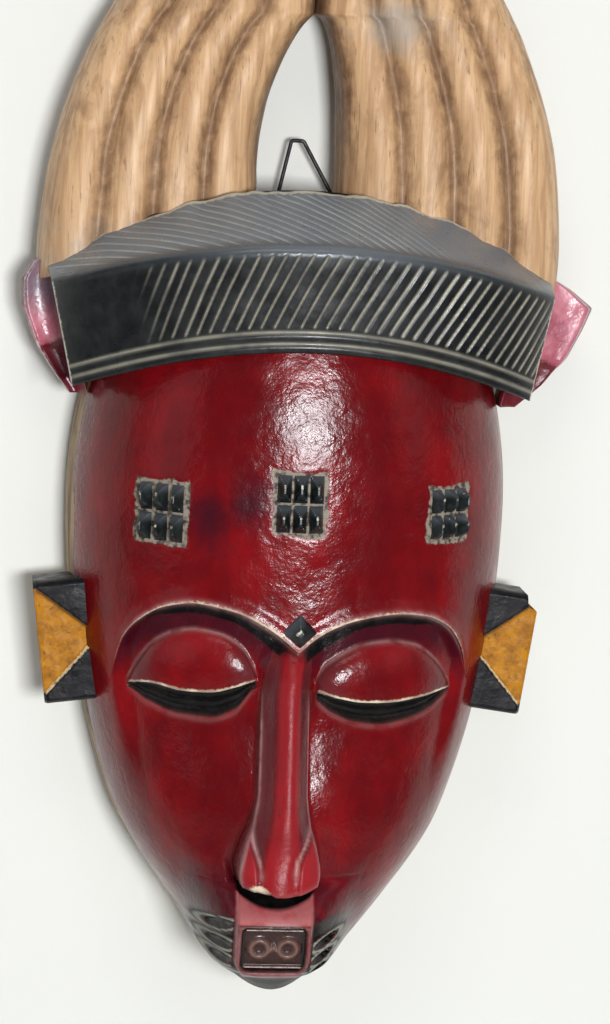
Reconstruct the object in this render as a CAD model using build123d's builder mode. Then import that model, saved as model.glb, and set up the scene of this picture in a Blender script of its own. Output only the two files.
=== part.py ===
from build123d import *

import os
from math import cos, radians, sin, sqrt

# A horned wooden wall mask: a hollow carved face, a crown with a ridged band, two fluted horns, ear
# flaps, ear ornaments, inlaid studs and a wire hanger.
#
# Millimetres. +Z is up, -Y is the front, and +X is on the right of someone facing the mask, as left
# and right are in the names. The origin is on the wall plane, Y = 0, behind the hook.

SIDES = {"left": -1, "right": 1}

# Face shell
FACE_HALF_WIDTH = 80.0
FACE_DEPTH = 84.0
FACE_WIDEST_Z = -130.0
FACE_BELOW = 180.0  # from the widest section down to where the chin would close
JAW_START_Z = -240.0  # the cheeks draw in towards the chin from here
JAW_RUN = 50.0
JAW_NARROWING = 0.15  # share of the width
FACE_TOP_Z = -62.0
FACE_POWER = 2.15  # of the section's outline; 2 is an ellipse
FACE_HEIGHTS = (-306, -303, -297, -288, -274, -253, -225, -195, -162, -130, -95, FACE_TOP_Z)
RIM = 4.0  # the face's sides run straight for this far from the wall
SHELL_WALL = 9.0
SHELL_FRONT = 12.0
ROOF = 14.0
HOLLOW_HEIGHTS = (-294, -288, -277, -260, -238, -210, -170, -130, -95, FACE_TOP_Z - ROOF)
JOINT_GAP = 0.1
BEHIND_WALL = 5.0  # the face and its hollow are drawn past the wall plane and cut off there

# Crown and its band
CROWN_BACK_Y = -12.0
CROWN_STATIONS = (-92, -80, -60, -32, 0, 32, 60, 80, 92)
CROWN_SIDE = ((91.5, -38.0), (79.5, -92.0))  # x, z of its straight end, from the front
BAND_MIDDLE_Z = (-16.0, -34.0, -70.0)  # its back edge, ridge and bottom edge
BAND_FALL = (30.0, 17.0, 21.0)  # how far each has dropped at the ends
BAND_END_X = 90.0
BAND_RIDGE_Y = (-90.0, -32.0)  # in the middle and at the ends
BAND_BACK_Y = (-47.0, -34.0)
BAND_UNDERCUT = 6.0
BAND_LIP = 4.0
SEAT_Z = -21.0
SEAT_FALL = 0.33  # how far the horn seats fall for each millimetre outwards

# Horns
HORN_HEIGHTS = (-55, -25, -10, 5, 20, 33, 45, 65, 85, 100, 112, 121)
HORN_CLOSE_Z = 125.0  # where the outer curves would meet
HORN_WIDEST_Z = -50.0
HORN_HALF = 94.0
HORN_THICK = 30.0
HORN_GROOVES = (0.0, 0.27, 0.50, 0.74, 1.0)
HORN_LOBE = 0.12  # how far each lobe bulges, as a share of its width
SEAM_X = 2.3
SEAM_GAP = 0.05
NOTCH_Z = 100.0
NOTCH = 0.06
GAP_FOOT_Z, GAP_TOP_Z = -10.0, 45.0
GAP_WIDTH = {-1: 18.5, 1: 9.8}  # the teardrop between the horns, each side of the seam
GAP_POWER = {-1: 0.8, 1: 0.42}
DOWEL_R = 4.0
DOWEL_LENGTH = 34.0
DOWELS_X = (36.0, 64.0)
DOWEL_Y = -25.0

# Carving on the face
NOSE_STATIONS = (
    # z, centre x, half width at the root, y of the ridge
    (-168.0, 1.0, 5.0, -85.0),
    (-192.0, -3.0, 8.5, -91.0),
    (-231.0, -4.0, 10.5, -99.0),
    (-250.0, -4.0, 14.5, -104.5),
    (-256.0, -4.0, 15.5, -105.0),
)
NOSE_RIDGE = 2.6
NOSE_ROOT_Y = -55.0
BROW = ((9.0, -172.0), (20.0, -166.0), (41.0, -162.0), (55.0, -167.0), (63.0, -180.0))
SOCKET_DEPTH = 5.0
LID_X, LID_Z = 34.0, -183.0
LID_SIZE = (22.0, 11.0, 7.5)
MOUTH_X = -4.8
MOUTH_WIDTH = 27.0
MOUTH_TOP = (-89.0, -261.0)  # y, z of the lips' front edges
MOUTH_LOW = (-82.0, -292.0)
MOUTH_ROOT_Y = -40.0
PLATE_SIZE = (20.0, 16.0)
PLATE_THICK = 5.0
PLATE_DROP = 1.0  # how far the plate lies behind the lips
GOUGE_X, GOUGE_Z = 18.5, -281.0
GOUGE_PITCH = 6.0
GOUGE_SIZE = (8.0, 2.2)
GOUGE_Y = (-56.0, -80.0)

# Studs
BROW_STUD = (1.0, -166.0)
BROW_STUD_BASE, BROW_STUD_TOP = 8.0, 3.0
BROW_STUD_HEIGHT = 3.0
CLUSTERS = {"left": (-48.0, -128.0), "centre": (-0.5, -122.0), "right": (50.5, -126.0)}
CLUSTER_PITCH = (5.9, 10.6)
STUD_BASE = (5.2, 9.4)
STUD_TOP = (1.2, 3.0)
STUD_HEIGHT = 3.4
STUD_SEAT = 0.4  # how far a stud's base stands off the face
STUD_PIN_R = 1.3
STUD_PIN = 6.0

# Ear flaps
FLAP_Y = (-32.0, -12.0)
FLAP_TOP = (92.0, -53.0)
FLAP_OUTER = (103.0, -62.0)
FLAP_TIP = (82.0, -90.0)
FLAP_PEG_R = 3.0
FLAP_PEG_X = (75.0, 95.0)
FLAP_PEG_Z = -64.0

# Ear ornaments
ORNAMENT_Z = -179.5
ORNAMENT_SIZE = (34.0, 20.0, 44.0)
ORNAMENT_X, ORNAMENT_Y = 72.0, -27.0
ORNAMENT_LEAN = 7.5
TENON = (8.0, 18.0)  # along Y and Z
TENON_X = (52.0, 74.0)
WEDGE_X = 58.0
WEDGE_R = 1.5
WEDGE_LENGTH = 26.0

# Crown screws, driven from inside the face
SCREWS_X = (-38.0, 0.0, 38.0)
SCREW_Y = -32.0
SCREW_R = 2.0
SCREW_LENGTH = 30.0
SCREW_HEAD_R = 4.0
SCREW_HEAD = 2.4
SCREW_SLOT = (1.0, 1.0)  # width and depth

# Tie slots in the face's rim
SLOT_PLACES = ((-9.0, -153.0), (-9.0, -208.0))  # y, z
SLOT_SIZE = (7.0, 3.5)

# Hanger: two screw eyes and a wire
WIRE_R = 0.7
EYE_RING_R = 3.2
EYE_TUBE_R = 0.8
EYE_SHANK = 9.0
EYE_SHANK_R = 0.95
EYES_X = (-13.0, 25.0)
EYES_Z = -38.0
HANGER_Y = -7.2
WIRE_PLAY = 0.3
PIVOT_Z = EYES_Z + EYE_RING_R - EYE_TUBE_R - WIRE_R - WIRE_PLAY
WIRE_SIDE = 2.3  # the wire's legs stand this far beside each ring
WIRE_BEND = 1.2
WIRE_TOP_X = (-3.0, 1.4)
WIRE_END = 5.0

FAR = 400.0  # larger than the mask


# ---- The face's form ----


def face_half_width(z):
    """Half width of the face at its back rim."""
    if z > FACE_WIDEST_Z:
        return FACE_HALF_WIDTH - 3.4 * ((z - FACE_WIDEST_Z) / 34) ** 2
    jaw = min(1.0, max(0.0, (JAW_START_Z - z) / JAW_RUN))
    narrowing = 1 - JAW_NARROWING * jaw**2 * (3 - 2 * jaw)
    return FACE_HALF_WIDTH * narrowing * (1 - ((FACE_WIDEST_Z - z) / FACE_BELOW) ** 2) ** 0.55


def face_depth(z):
    """How far the face stands out from the wall at the middle of a section."""
    if z > FACE_WIDEST_Z:
        return FACE_DEPTH - 6 * ((z - FACE_WIDEST_Z) / 68) ** 2
    return FACE_DEPTH * sqrt(1 - ((FACE_WIDEST_Z - z) / FACE_BELOW) ** 6)


def face_y(x, z):
    """The face's front surface at a place seen from the front."""
    share = min(1.0, abs(x) / face_half_width(z))
    return -RIM - (face_depth(z) - RIM) * (1 - share**FACE_POWER) ** (1 / FACE_POWER)


def face_plane(x, z):
    """A plane on the face's surface, with its Z axis out of the wood and its Y axis upwards."""
    step = 0.5
    slope_x = (face_y(x + step, z) - face_y(x - step, z)) / (2 * step)
    slope_z = (face_y(x, z + step) - face_y(x, z - step)) / (2 * step)
    out = Vector(slope_x, -1, slope_z)
    up = Vector(0, slope_z, 1)
    return Plane(origin=(x, face_y(x, z), z), x_dir=up.cross(out), z_dir=out)


def face_loft(heights, thinner=0.0, shallower=0.0, back=0.0):
    """The face as a solid, drawn in by so much at its sides and at its front."""
    with BuildPart() as body:
        for z in heights:
            half = face_half_width(z) - thinner
            depth = face_depth(z) - shallower
            points = []
            for turn in range(0, 181, 15):
                c, s = cos(radians(turn)), sin(radians(turn))
                x = half * abs(c) ** (2 / FACE_POWER) * (1 if c >= 0 else -1)
                points.append((x, -RIM - (depth - RIM) * abs(s) ** (2 / FACE_POWER)))
            with BuildSketch(Plane.XY.offset(z)):
                with BuildLine():
                    Spline(*points, tangents=((0, -1), (0, 1)))
                    Polyline(points[-1], (-half, back), (half, back), points[0])
                make_face()
        loft()
    return body.part


face_block = face_loft(FACE_HEIGHTS, back=BEHIND_WALL)
face_clear = face_loft(FACE_HEIGHTS, -JOINT_GAP, -JOINT_GAP, JOINT_GAP)


# ---- The crown's form ----


def band_line(line, x):
    """Height of the band's back edge, ridge or bottom edge (0, 1 or 2)."""
    return BAND_MIDDLE_Z[line] - BAND_FALL[line] * (x / BAND_END_X) ** 2


def band_ridge_y(x):
    middle, end = BAND_RIDGE_Y
    return end + (middle - end) * sqrt(1 - (x / 94) ** 2)


def band_back_y(x):
    middle, end = BAND_BACK_Y
    return middle + (end - middle) * (x / BAND_END_X) ** 2


def seat_z(x):
    return SEAT_Z - SEAT_FALL * abs(x)


def behind_lip(gap=0.0):
    """The room over the horn seats and behind the band's lip."""
    with BuildPart() as room:
        for x in (-110, -80, -60, -32, 0, 32, 60, 80, 110):
            lip_y = band_back_y(x) + BAND_LIP + gap
            with BuildSketch(Plane.YZ.offset(x)):
                with Locations(((lip_y + 20) / 2, 0)):
                    Rectangle(20 - lip_y, FAR)
        loft()
        with BuildSketch(Plane.XZ.offset(-20)):
            with BuildLine():
                Polyline(
                    (-130, seat_z(130)),
                    (0, seat_z(0)),
                    (130, seat_z(130)),
                    (130, -FAR),
                    (-130, -FAR),
                    close=True,
                )
            make_face()
        extrude(amount=100, mode=Mode.SUBTRACT)
    return room.part


def crown_end(side):
    """The crown's straight end, as a plane whose Z axis points outwards."""
    (top_x, top_z), (low_x, low_z) = CROWN_SIDE
    out = Vector(side * (top_z - low_z), 0, low_x - top_x)
    return Plane(origin=(side * top_x, 0, top_z), x_dir=(0, 1, 0), z_dir=out)


# ---- Dowels and horns ----

with BuildPart() as horn_dowels:
    with Locations(*[(side * x, DOWEL_Y, seat_z(x)) for side in SIDES.values() for x in DOWELS_X]):
        Cylinder(DOWEL_R, DOWEL_LENGTH)


def gap_edge(side, z):
    """The inner edge of a horn, along the teardrop gap and then along the seam."""
    rise = max(0.0, z - GAP_FOOT_Z) / (GAP_TOP_Z - GAP_FOOT_Z)
    width = GAP_WIDTH[side] * (1 - min(1.0, rise) ** 2) ** GAP_POWER[side]
    return SEAM_X + side * (width + SEAM_GAP + NOTCH * max(0.0, z - NOTCH_Z))


def outer_edge(side, z):
    rise = max(0.0, z - HORN_WIDEST_Z) / (HORN_CLOSE_Z - HORN_WIDEST_Z)
    lean = SEAM_X * min(1.0, (z - HORN_HEIGHTS[0]) / 100)
    return lean + side * HORN_HALF * (1 - rise**2.4)


def horn_front(side, z):
    """The places of a horn's grooves and front edges at one height."""
    inner, outer = gap_edge(side, z), outer_edge(side, z)
    thick = HORN_THICK * (1 - (max(0.0, z + 20) / 155) ** 2.2)
    front = []
    for share in HORN_GROOVES:
        depth = thick * (0.45 + 0.5 * sqrt(1 - (2 * share - 1) ** 2))
        front.append((inner + share * (outer - inner), CROWN_BACK_Y - depth))
    return front


def horn_loft(side):
    with BuildPart() as body:
        for z in HORN_HEIGHTS:
            front = horn_front(side, z)
            with BuildSketch(Plane.XY.offset(z)):
                with BuildLine():
                    for (x0, y0), (x1, y1) in zip(front, front[1:]):
                        out_x = side * (y1 - y0) * HORN_LOBE
                        out_y = -side * (x1 - x0) * HORN_LOBE
                        middle = ((x0 + x1) / 2 + out_x, (y0 + y1) / 2 + out_y)
                        ThreePointArc((x0, y0), middle, (x1, y1))
                    back = [(front[-1][0], CROWN_BACK_Y), (front[0][0], CROWN_BACK_Y)]
                    Polyline(front[-1], *back, front[0])
                make_face()
        loft()
    return body.part


horns = {}
for name, side in SIDES.items():
    with BuildPart() as horn:
        add(horn_loft(side))
        add(behind_lip(JOINT_GAP), mode=Mode.INTERSECT)
        seam = Plane.YZ.offset(SEAM_X + side * SEAM_GAP)
        split(bisect_by=seam, keep=Keep.TOP if side > 0 else Keep.BOTTOM)
        add(horn_dowels.part, mode=Mode.SUBTRACT)
    horns[name] = horn

# ---- Ear flaps, pegged to the crown's ends ----

with BuildPart() as flap_pegs:
    for side in SIDES.values():
        with BuildSketch(Plane.YZ.offset(side * FLAP_PEG_X[0])):
            with Locations((sum(FLAP_Y) / 2, FLAP_PEG_Z)):
                Circle(FLAP_PEG_R)
        extrude(amount=side * (FLAP_PEG_X[1] - FLAP_PEG_X[0]))

flaps = {}
for name, side in SIDES.items():
    with BuildPart() as flap:
        with BuildSketch(Plane.XZ.offset(-FLAP_Y[1])):
            with BuildLine():
                top = (side * FLAP_TOP[0], FLAP_TOP[1])
                outer = (side * FLAP_OUTER[0], FLAP_OUTER[1])
                tip = (side * FLAP_TIP[0], FLAP_TIP[1])
                ThreePointArc(top, (side * 100, -55), outer)
                ThreePointArc(outer, (side * 98.5, -78), tip)
                Polyline(tip, (side * 70, tip[1]), (side * 70, top[1]), top)
            make_face()
        extrude(amount=FLAP_Y[1] - FLAP_Y[0])
        with BuildSketch(crown_end(side)):
            Rectangle(FAR, FAR)
        extrude(amount=-80, mode=Mode.SUBTRACT)
        add(flap_pegs.part, mode=Mode.SUBTRACT)
    flaps[name] = flap

# ---- Screws through the face's roof into the crown ----

with BuildPart() as crown_screws:
    seat = FACE_TOP_Z - ROOF
    for x in SCREWS_X:
        with BuildSketch(Plane((x, SCREW_Y, seat))):
            Circle(SCREW_R)
        extrude(amount=SCREW_LENGTH)
        with BuildSketch(Plane((x, SCREW_Y, seat - SCREW_HEAD))):
            Circle(SCREW_HEAD_R)
        extrude(amount=SCREW_HEAD)
    low_edges = crown_screws.edges().filter_by(GeomType.CIRCLE).group_by(Axis.Z)[0]
    chamfer(low_edges, 1.0)
    with Locations(*[(x, SCREW_Y, seat - SCREW_HEAD) for x in SCREWS_X]):
        Box(2 * SCREW_HEAD_R, SCREW_SLOT[0], 2 * SCREW_SLOT[1], mode=Mode.SUBTRACT)

# ---- Hanger: two screw eyes in the crown's back, and a stiff wire through them ----

with BuildPart() as hanger_eyes:
    for x in EYES_X:
        with Locations(Location((x, HANGER_Y, EYES_Z), (0, 90, 0))):
            Torus(EYE_RING_R, EYE_TUBE_R)
        with BuildSketch(Plane.XZ.offset(EYE_RING_R - HANGER_Y)):
            with Locations((x, EYES_Z)):
                Circle(EYE_SHANK_R)
        extrude(amount=EYE_SHANK)

with BuildPart() as hanger_wire:
    left, right = EYES_X
    route = (
        (left - WIRE_SIDE, HANGER_Y, PIVOT_Z + WIRE_END),
        (left - WIRE_SIDE, HANGER_Y, PIVOT_Z),
        (left + WIRE_SIDE, HANGER_Y, PIVOT_Z),
        (WIRE_TOP_X[0], HANGER_Y, 0),
        (WIRE_TOP_X[1], HANGER_Y, 0),
        (right - WIRE_SIDE, HANGER_Y, PIVOT_Z),
        (right + WIRE_SIDE, HANGER_Y, PIVOT_Z),
        (right + WIRE_SIDE, HANGER_Y, PIVOT_Z + WIRE_END),
    )
    with BuildLine():
        FilletPolyline(*route, radius=WIRE_BEND)
    with BuildSketch(Plane(origin=route[0], z_dir=(0, 0, -1))):
        Circle(WIRE_R)
    sweep()

# ---- Crown and band ----

with BuildPart() as crown_band:
    for x in CROWN_STATIONS:
        with BuildSketch(Plane.YZ.offset(x)):
            with BuildLine():
                Polyline(
                    (CROWN_BACK_Y, band_line(2, x)),
                    (band_ridge_y(x) + BAND_UNDERCUT, band_line(2, x)),
                    (band_ridge_y(x), band_line(1, x)),
                    (band_back_y(x), band_line(0, x)),
                    (CROWN_BACK_Y, band_line(0, x)),
                    close=True,
                )
            make_face()
    loft()
    add(behind_lip(), mode=Mode.SUBTRACT)
    add(face_clear, mode=Mode.SUBTRACT)
    for side in SIDES.values():
        with BuildSketch(crown_end(side)):
            Rectangle(FAR, FAR)
        extrude(amount=40, mode=Mode.SUBTRACT)
    for fastener in (horn_dowels, flap_pegs, crown_screws, hanger_eyes):
        add(fastener.part, mode=Mode.SUBTRACT)

# ---- Ear ornaments, with tenons through the face's sides and a wedge pin in each tenon ----

with BuildPart() as ornament_wedges:
    with Locations(*[(side * WEDGE_X, ORNAMENT_Y, ORNAMENT_Z) for side in SIDES.values()]):
        Cylinder(WEDGE_R, WEDGE_LENGTH)

ornaments = {}
for name, side in SIDES.items():
    middle = (side * ORNAMENT_X, ORNAMENT_Y, ORNAMENT_Z)
    with BuildPart(Plane(middle).rotated((0, side * ORNAMENT_LEAN, 0))) as block:
        Box(*ORNAMENT_SIZE)
        chamfer(block.faces().sort_by(Axis.Y)[0].edges(), 2.0)
    with BuildPart() as ornament:
        add(block.part)
        add(face_clear, mode=Mode.SUBTRACT)
        with Locations((side * sum(TENON_X) / 2, ORNAMENT_Y, ORNAMENT_Z)):
            Box(TENON_X[1] - TENON_X[0], *TENON)
        add(ornament_wedges.part, mode=Mode.SUBTRACT)
    ornaments[name] = ornament

# ---- Studs ----


def spiked_stud(plane):
    """A four-sided stud with a round pin behind it."""
    with BuildPart() as stud:
        with BuildSketch(plane.offset(STUD_SEAT)):
            Rectangle(*STUD_BASE)
        with BuildSketch(plane.offset(STUD_SEAT + STUD_HEIGHT)):
            Rectangle(*STUD_TOP)
        loft()
        with BuildSketch(plane.offset(-STUD_PIN)):
            Circle(STUD_PIN_R)
        extrude(amount=STUD_PIN + STUD_SEAT)
    return stud.part


clusters = {}
for name, (x, z) in CLUSTERS.items():
    with BuildPart() as cluster:
        for column in (-1, 0, 1):
            for row in (-0.5, 0.5):
                stud_x = x + column * CLUSTER_PITCH[0]
                stud_z = z + row * CLUSTER_PITCH[1]
                add(spiked_stud(face_plane(stud_x, stud_z)))
    clusters[name] = cluster

with BuildPart() as brow_stud:
    plane = face_plane(*BROW_STUD)
    with BuildSketch(plane.offset(-8)):
        Circle(2.0)
    extrude(amount=8 + STUD_SEAT)
    for rise, width in ((0, BROW_STUD_BASE), (BROW_STUD_HEIGHT, BROW_STUD_TOP)):
        with BuildSketch(plane.offset(STUD_SEAT + rise)):
            Rectangle(width, width, rotation=45)
    loft()

# ---- Mouth ----

mouth_top = Vector(MOUTH_X, *MOUTH_TOP)
mouth_low = Vector(MOUTH_X, *MOUTH_LOW)
out = Vector(1, 0, 0).cross(mouth_top - mouth_low)
mouth_plane = Plane(origin=(mouth_top + mouth_low) * 0.5, x_dir=(1, 0, 0), z_dir=out)

with BuildPart() as mouth_plate:
    with BuildSketch(mouth_plane.offset(-PLATE_DROP)):
        Rectangle(*PLATE_SIZE)
    extrude(amount=-PLATE_THICK)
    chamfer(mouth_plate.faces().sort_by(Axis.Y)[0].edges(), 1.2)

with BuildPart() as mouth_block:
    with BuildSketch(Plane.YZ.offset(MOUTH_X)):
        with BuildLine():
            Polyline(
                (MOUTH_ROOT_Y, MOUTH_TOP[1]),
                MOUTH_TOP,
                MOUTH_LOW,
                (MOUTH_ROOT_Y, MOUTH_LOW[1]),
                close=True,
            )
        make_face()
    extrude(amount=MOUTH_WIDTH / 2, both=True)
    chamfer(mouth_block.faces().sort_by(Axis.Y)[0].edges(), 3.0)

# ---- Nose, eye sockets and lids ----

with BuildPart() as nose:
    for z, x, half, ridge_y in NOSE_STATIONS:
        root_y = face_y(x, z) + 2
        with BuildSketch(Plane.XY.offset(z)):
            with BuildLine():
                Polyline(
                    (x - half - 1, NOSE_ROOT_Y),
                    (x - half, root_y),
                    (x - NOSE_RIDGE, ridge_y),
                    (x + NOSE_RIDGE, ridge_y),
                    (x + half, root_y),
                    (x + half + 1, NOSE_ROOT_Y),
                    close=True,
                )
            make_face()
    loft()

with BuildPart() as sockets:
    for side in SIDES.values():
        arch = [(side * x, z) for x, z in BROW]
        with BuildSketch(Plane.XZ.offset(20)):
            with BuildLine():
                Spline(*arch)
                ThreePointArc(arch[-1], (side * 48, -203), (side * 30, -212))
                ThreePointArc((side * 30, -212), (side * 16, -200), arch[0])
            make_face()
        extrude(amount=90)
    add(face_loft(FACE_HEIGHTS, 0, SOCKET_DEPTH), mode=Mode.SUBTRACT)

lid = scale(Sphere(1), by=LID_SIZE)

# ---- Face shell ----

with BuildPart() as face_shell:
    add(face_block)
    add(sockets.part, mode=Mode.SUBTRACT)
    for side in SIDES.values():
        add(face_plane(side * LID_X, LID_Z).offset(-SOCKET_DEPTH) * lid)
    add(nose.part)
    add(mouth_block.part)
    for side in SIDES.values():
        for row in (-1, 0, 1):
            with BuildSketch(Plane.XZ.offset(-GOUGE_Y[0])):
                with Locations((MOUTH_X + side * GOUGE_X, GOUGE_Z + row * GOUGE_PITCH)):
                    Rectangle(*GOUGE_SIZE)
            extrude(amount=GOUGE_Y[0] - GOUGE_Y[1], mode=Mode.SUBTRACT)
    add(face_loft(HOLLOW_HEIGHTS, SHELL_WALL, SHELL_FRONT, BEHIND_WALL), mode=Mode.SUBTRACT)
    split(bisect_by=Plane.XZ)
    for y, z in SLOT_PLACES:
        with BuildSketch(Plane.YZ.offset(-FAR / 2)):
            with Locations((y, z)):
                SlotOverall(*SLOT_SIZE)
        extrude(amount=FAR, mode=Mode.SUBTRACT)
    inlays = [crown_screws, brow_stud, mouth_plate, *clusters.values(), *ornaments.values()]
    for inlay in inlays:
        add(inlay.part, mode=Mode.SUBTRACT)

# ---- Export ----

pieces = {
    "face_shell": face_shell,
    "crown_band": crown_band,
    "horn_left": horns["left"],
    "horn_right": horns["right"],
    "flap_left": flaps["left"],
    "flap_right": flaps["right"],
    "ornament_left": ornaments["left"],
    "ornament_right": ornaments["right"],
    "studs_left": clusters["left"],
    "studs_centre": clusters["centre"],
    "studs_right": clusters["right"],
    "brow_stud": brow_stud,
    "mouth_plate": mouth_plate,
    "horn_dowels": horn_dowels,
    "flap_pegs": flap_pegs,
    "ornament_wedges": ornament_wedges,
    "crown_screws": crown_screws,
    "hanger_eyes": hanger_eyes,
    "hanger_wire": hanger_wire,
}
os.makedirs("parts", exist_ok=True)
for name, piece in pieces.items():
    piece.part.label = name
    export_step(piece.part, f"parts/{name}.step")
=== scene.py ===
from functools import reduce
from itertools import product
from math import cos, pi, radians, sin, sqrt

import bmesh
import bpy
import numpy as np
from mathutils import Matrix, Vector


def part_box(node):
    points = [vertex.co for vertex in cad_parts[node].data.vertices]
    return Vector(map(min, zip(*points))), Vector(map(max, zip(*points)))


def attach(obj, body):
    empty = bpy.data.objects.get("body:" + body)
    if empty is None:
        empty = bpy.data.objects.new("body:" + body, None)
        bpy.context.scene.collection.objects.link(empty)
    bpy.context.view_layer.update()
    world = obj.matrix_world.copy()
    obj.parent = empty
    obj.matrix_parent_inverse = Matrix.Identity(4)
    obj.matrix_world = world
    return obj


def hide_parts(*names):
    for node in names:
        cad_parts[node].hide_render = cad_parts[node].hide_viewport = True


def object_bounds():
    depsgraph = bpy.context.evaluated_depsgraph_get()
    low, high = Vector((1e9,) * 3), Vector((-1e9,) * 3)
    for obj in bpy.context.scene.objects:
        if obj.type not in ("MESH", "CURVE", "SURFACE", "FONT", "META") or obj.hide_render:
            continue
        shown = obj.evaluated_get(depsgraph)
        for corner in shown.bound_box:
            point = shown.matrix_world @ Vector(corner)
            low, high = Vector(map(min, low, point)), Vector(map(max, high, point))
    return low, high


# The carved mask's looks. Shapes are worked out in millimetres in the frame of the CAD model, with
# +Z up and -Y the front, and written to the meshes in metres.

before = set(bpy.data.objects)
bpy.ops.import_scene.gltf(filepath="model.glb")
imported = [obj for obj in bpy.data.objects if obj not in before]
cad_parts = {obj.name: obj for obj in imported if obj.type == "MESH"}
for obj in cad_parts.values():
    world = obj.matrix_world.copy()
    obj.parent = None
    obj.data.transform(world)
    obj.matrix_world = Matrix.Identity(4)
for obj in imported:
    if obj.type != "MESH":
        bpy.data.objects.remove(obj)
cad_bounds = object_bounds()

MM = 0.001
SIDES = {"left": -1, "right": 1}


def node_box(name):
    """A CAD node's box in millimetres, as its lowest and highest corner."""
    low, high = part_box(name)
    return np.array(low) / MM, np.array(high) / MM


# ---- Plain helpers ----


def unit(value):
    return np.clip(value, 0, 1)


def most(*values):
    """The greatest of several values at each place."""
    return reduce(np.maximum, values)


def xyz(x, y, z):
    """Points from their coordinates."""
    return np.stack(np.broadcast_arrays(x, y, z), axis=-1)


def unit_grid(columns, rows):
    """Places from -1 to 1 along the columns and the rows of a grid."""
    return np.meshgrid(np.linspace(-1, 1, columns), np.linspace(-1, 1, rows))


def ease(start, end, value):
    """0 before start, 1 after end, and a smooth step between them."""
    t = unit((value - start) / (end - start))
    return t * t * (3 - 2 * t)


def bell(value, centre, width):
    return np.exp(-(((value - centre) / width) ** 2))


def mix(a, b, share):
    return a * (1 - share) + b * share


def curve(*points):
    """A smooth curve through points in order of their first number, and level beyond its ends."""
    x = np.array([p[0] for p in points], float)
    y = np.array([p[1] for p in points], float)
    slope = np.diff(y) / np.diff(x)
    ahead, behind = slope[1:], slope[:-1]
    inner = np.where(ahead * behind > 0, 2 * ahead * behind / (ahead + behind + 1e-12), 0)
    tangent = np.concatenate([[slope[0]], inner, [slope[-1]]])

    def at(value):
        value = np.clip(value, x[0], x[-1])
        k = np.clip(np.searchsorted(x, value, side="right") - 1, 0, len(x) - 2)
        width = x[k + 1] - x[k]
        t = (value - x[k]) / width
        return (
            y[k] * (1 + 2 * t) * (1 - t) ** 2
            + y[k + 1] * t * t * (3 - 2 * t)
            + width * (tangent[k] * t * (1 - t) ** 2 - tangent[k + 1] * t * t * (1 - t))
        )

    return at


# large odd numbers that scatter the cells' values, and the 32 bits that are kept
HASH_AXES = np.array([73856093, 19349663, 83492791])
HASH_SEED = 2654435
HASH_SPREAD = 1274126177
HASH_BITS = 0xFFFFFFFF


def lattice(points, seed):
    """Smooth noise from -1 to 1, with one cell per unit."""
    cell = np.floor(points).astype(np.int64)
    part = points - cell
    part = part * part * (3 - 2 * part)
    total = 0.0
    for corner in product((0, 1), repeat=3):
        at = (cell + np.array(corner)) * HASH_AXES
        code = (at[..., 0] ^ at[..., 1] ^ at[..., 2] ^ seed * HASH_SEED) & HASH_BITS
        code = (code ^ (code >> 13)) * HASH_SPREAD & HASH_BITS
        value = ((code ^ (code >> 16)) & 0xFFFF) / 32767.5 - 1
        total = total + value * np.prod(np.where(corner, part, 1 - part), axis=-1)
    return total


def noise(x, y, z, size, seed=0, octaves=3):
    """Layered noise from about -1 to 1, with features of the given size in millimetres."""
    points = xyz(x, y, z) / np.array(size, float)
    total, weight = 0.0, 0.0
    for octave in range(octaves):
        total = total + lattice(points * 2**octave + 17.3 * octave, seed + octave) * 0.5**octave
        weight += 0.5**octave
    return total / weight


# ---- Meshes ----


def grid_faces(rows, columns, first=0, around=False):
    """Quads between rows of point numbers. With around, each row closes on itself."""
    number = np.arange(rows * columns).reshape(rows, columns) + first
    if around:
        number = np.concatenate([number, number[:, :1]], axis=1)
    corners = (number[:-1, :-1], number[:-1, 1:], number[1:, 1:], number[1:, :-1])
    return np.stack(corners, axis=-1).reshape(-1, 4).tolist()


def make_mesh(name, points, faces, masks, smooth=True):
    """A closed mesh with its paint masks."""
    mesh = bpy.data.meshes.new(name)
    mesh.from_pydata((np.asarray(points, float) * MM).tolist(), [], faces)
    for key, values in masks.items():
        layer = mesh.attributes.new(key, "FLOAT", "POINT")
        layer.data.foreach_set("value", np.asarray(values, np.float32).ravel())
    work = bmesh.new()
    work.from_mesh(mesh)
    bmesh.ops.remove_doubles(work, verts=work.verts, dist=0.002 * MM)
    bmesh.ops.dissolve_degenerate(work, edges=work.edges, dist=0.001 * MM)
    bmesh.ops.recalc_face_normals(work, faces=work.faces)
    for face in work.faces:
        face.smooth = smooth
    work.to_mesh(mesh)
    work.free()
    return mesh


def cut_out(mesh, cutter_mesh):
    """The mesh with closed solids cut out of it."""
    whole = bpy.data.objects.new("whole", mesh)
    cutter = bpy.data.objects.new("cutter", cutter_mesh)
    for part in (whole, cutter):
        bpy.context.scene.collection.objects.link(part)
    change = whole.modifiers.new("cut", "BOOLEAN")
    change.operation = "DIFFERENCE"
    change.solver = "MANIFOLD"
    change.object = cutter
    graph = bpy.context.evaluated_depsgraph_get()
    result = bpy.data.meshes.new_from_object(whole.evaluated_get(graph))
    for part in (whole, cutter):
        bpy.data.objects.remove(part)
    return result


def make_piece(name, points, faces, masks, material, slot, nodes, smooth=True, cutter=None):
    """A closed mesh piece that rides on the mask and stands for the CAD nodes."""
    mesh = make_mesh(name, points, faces, masks, smooth)
    if cutter:
        mesh = cut_out(mesh, make_mesh("cutter", *cutter, smooth=False))
        mesh.name = name
    piece = bpy.data.objects.new(name, mesh)
    bpy.context.scene.collection.objects.link(piece)
    mesh.materials.append(material)
    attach(piece, "mask")
    if nodes:
        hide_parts(*nodes)
    return piece


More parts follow.
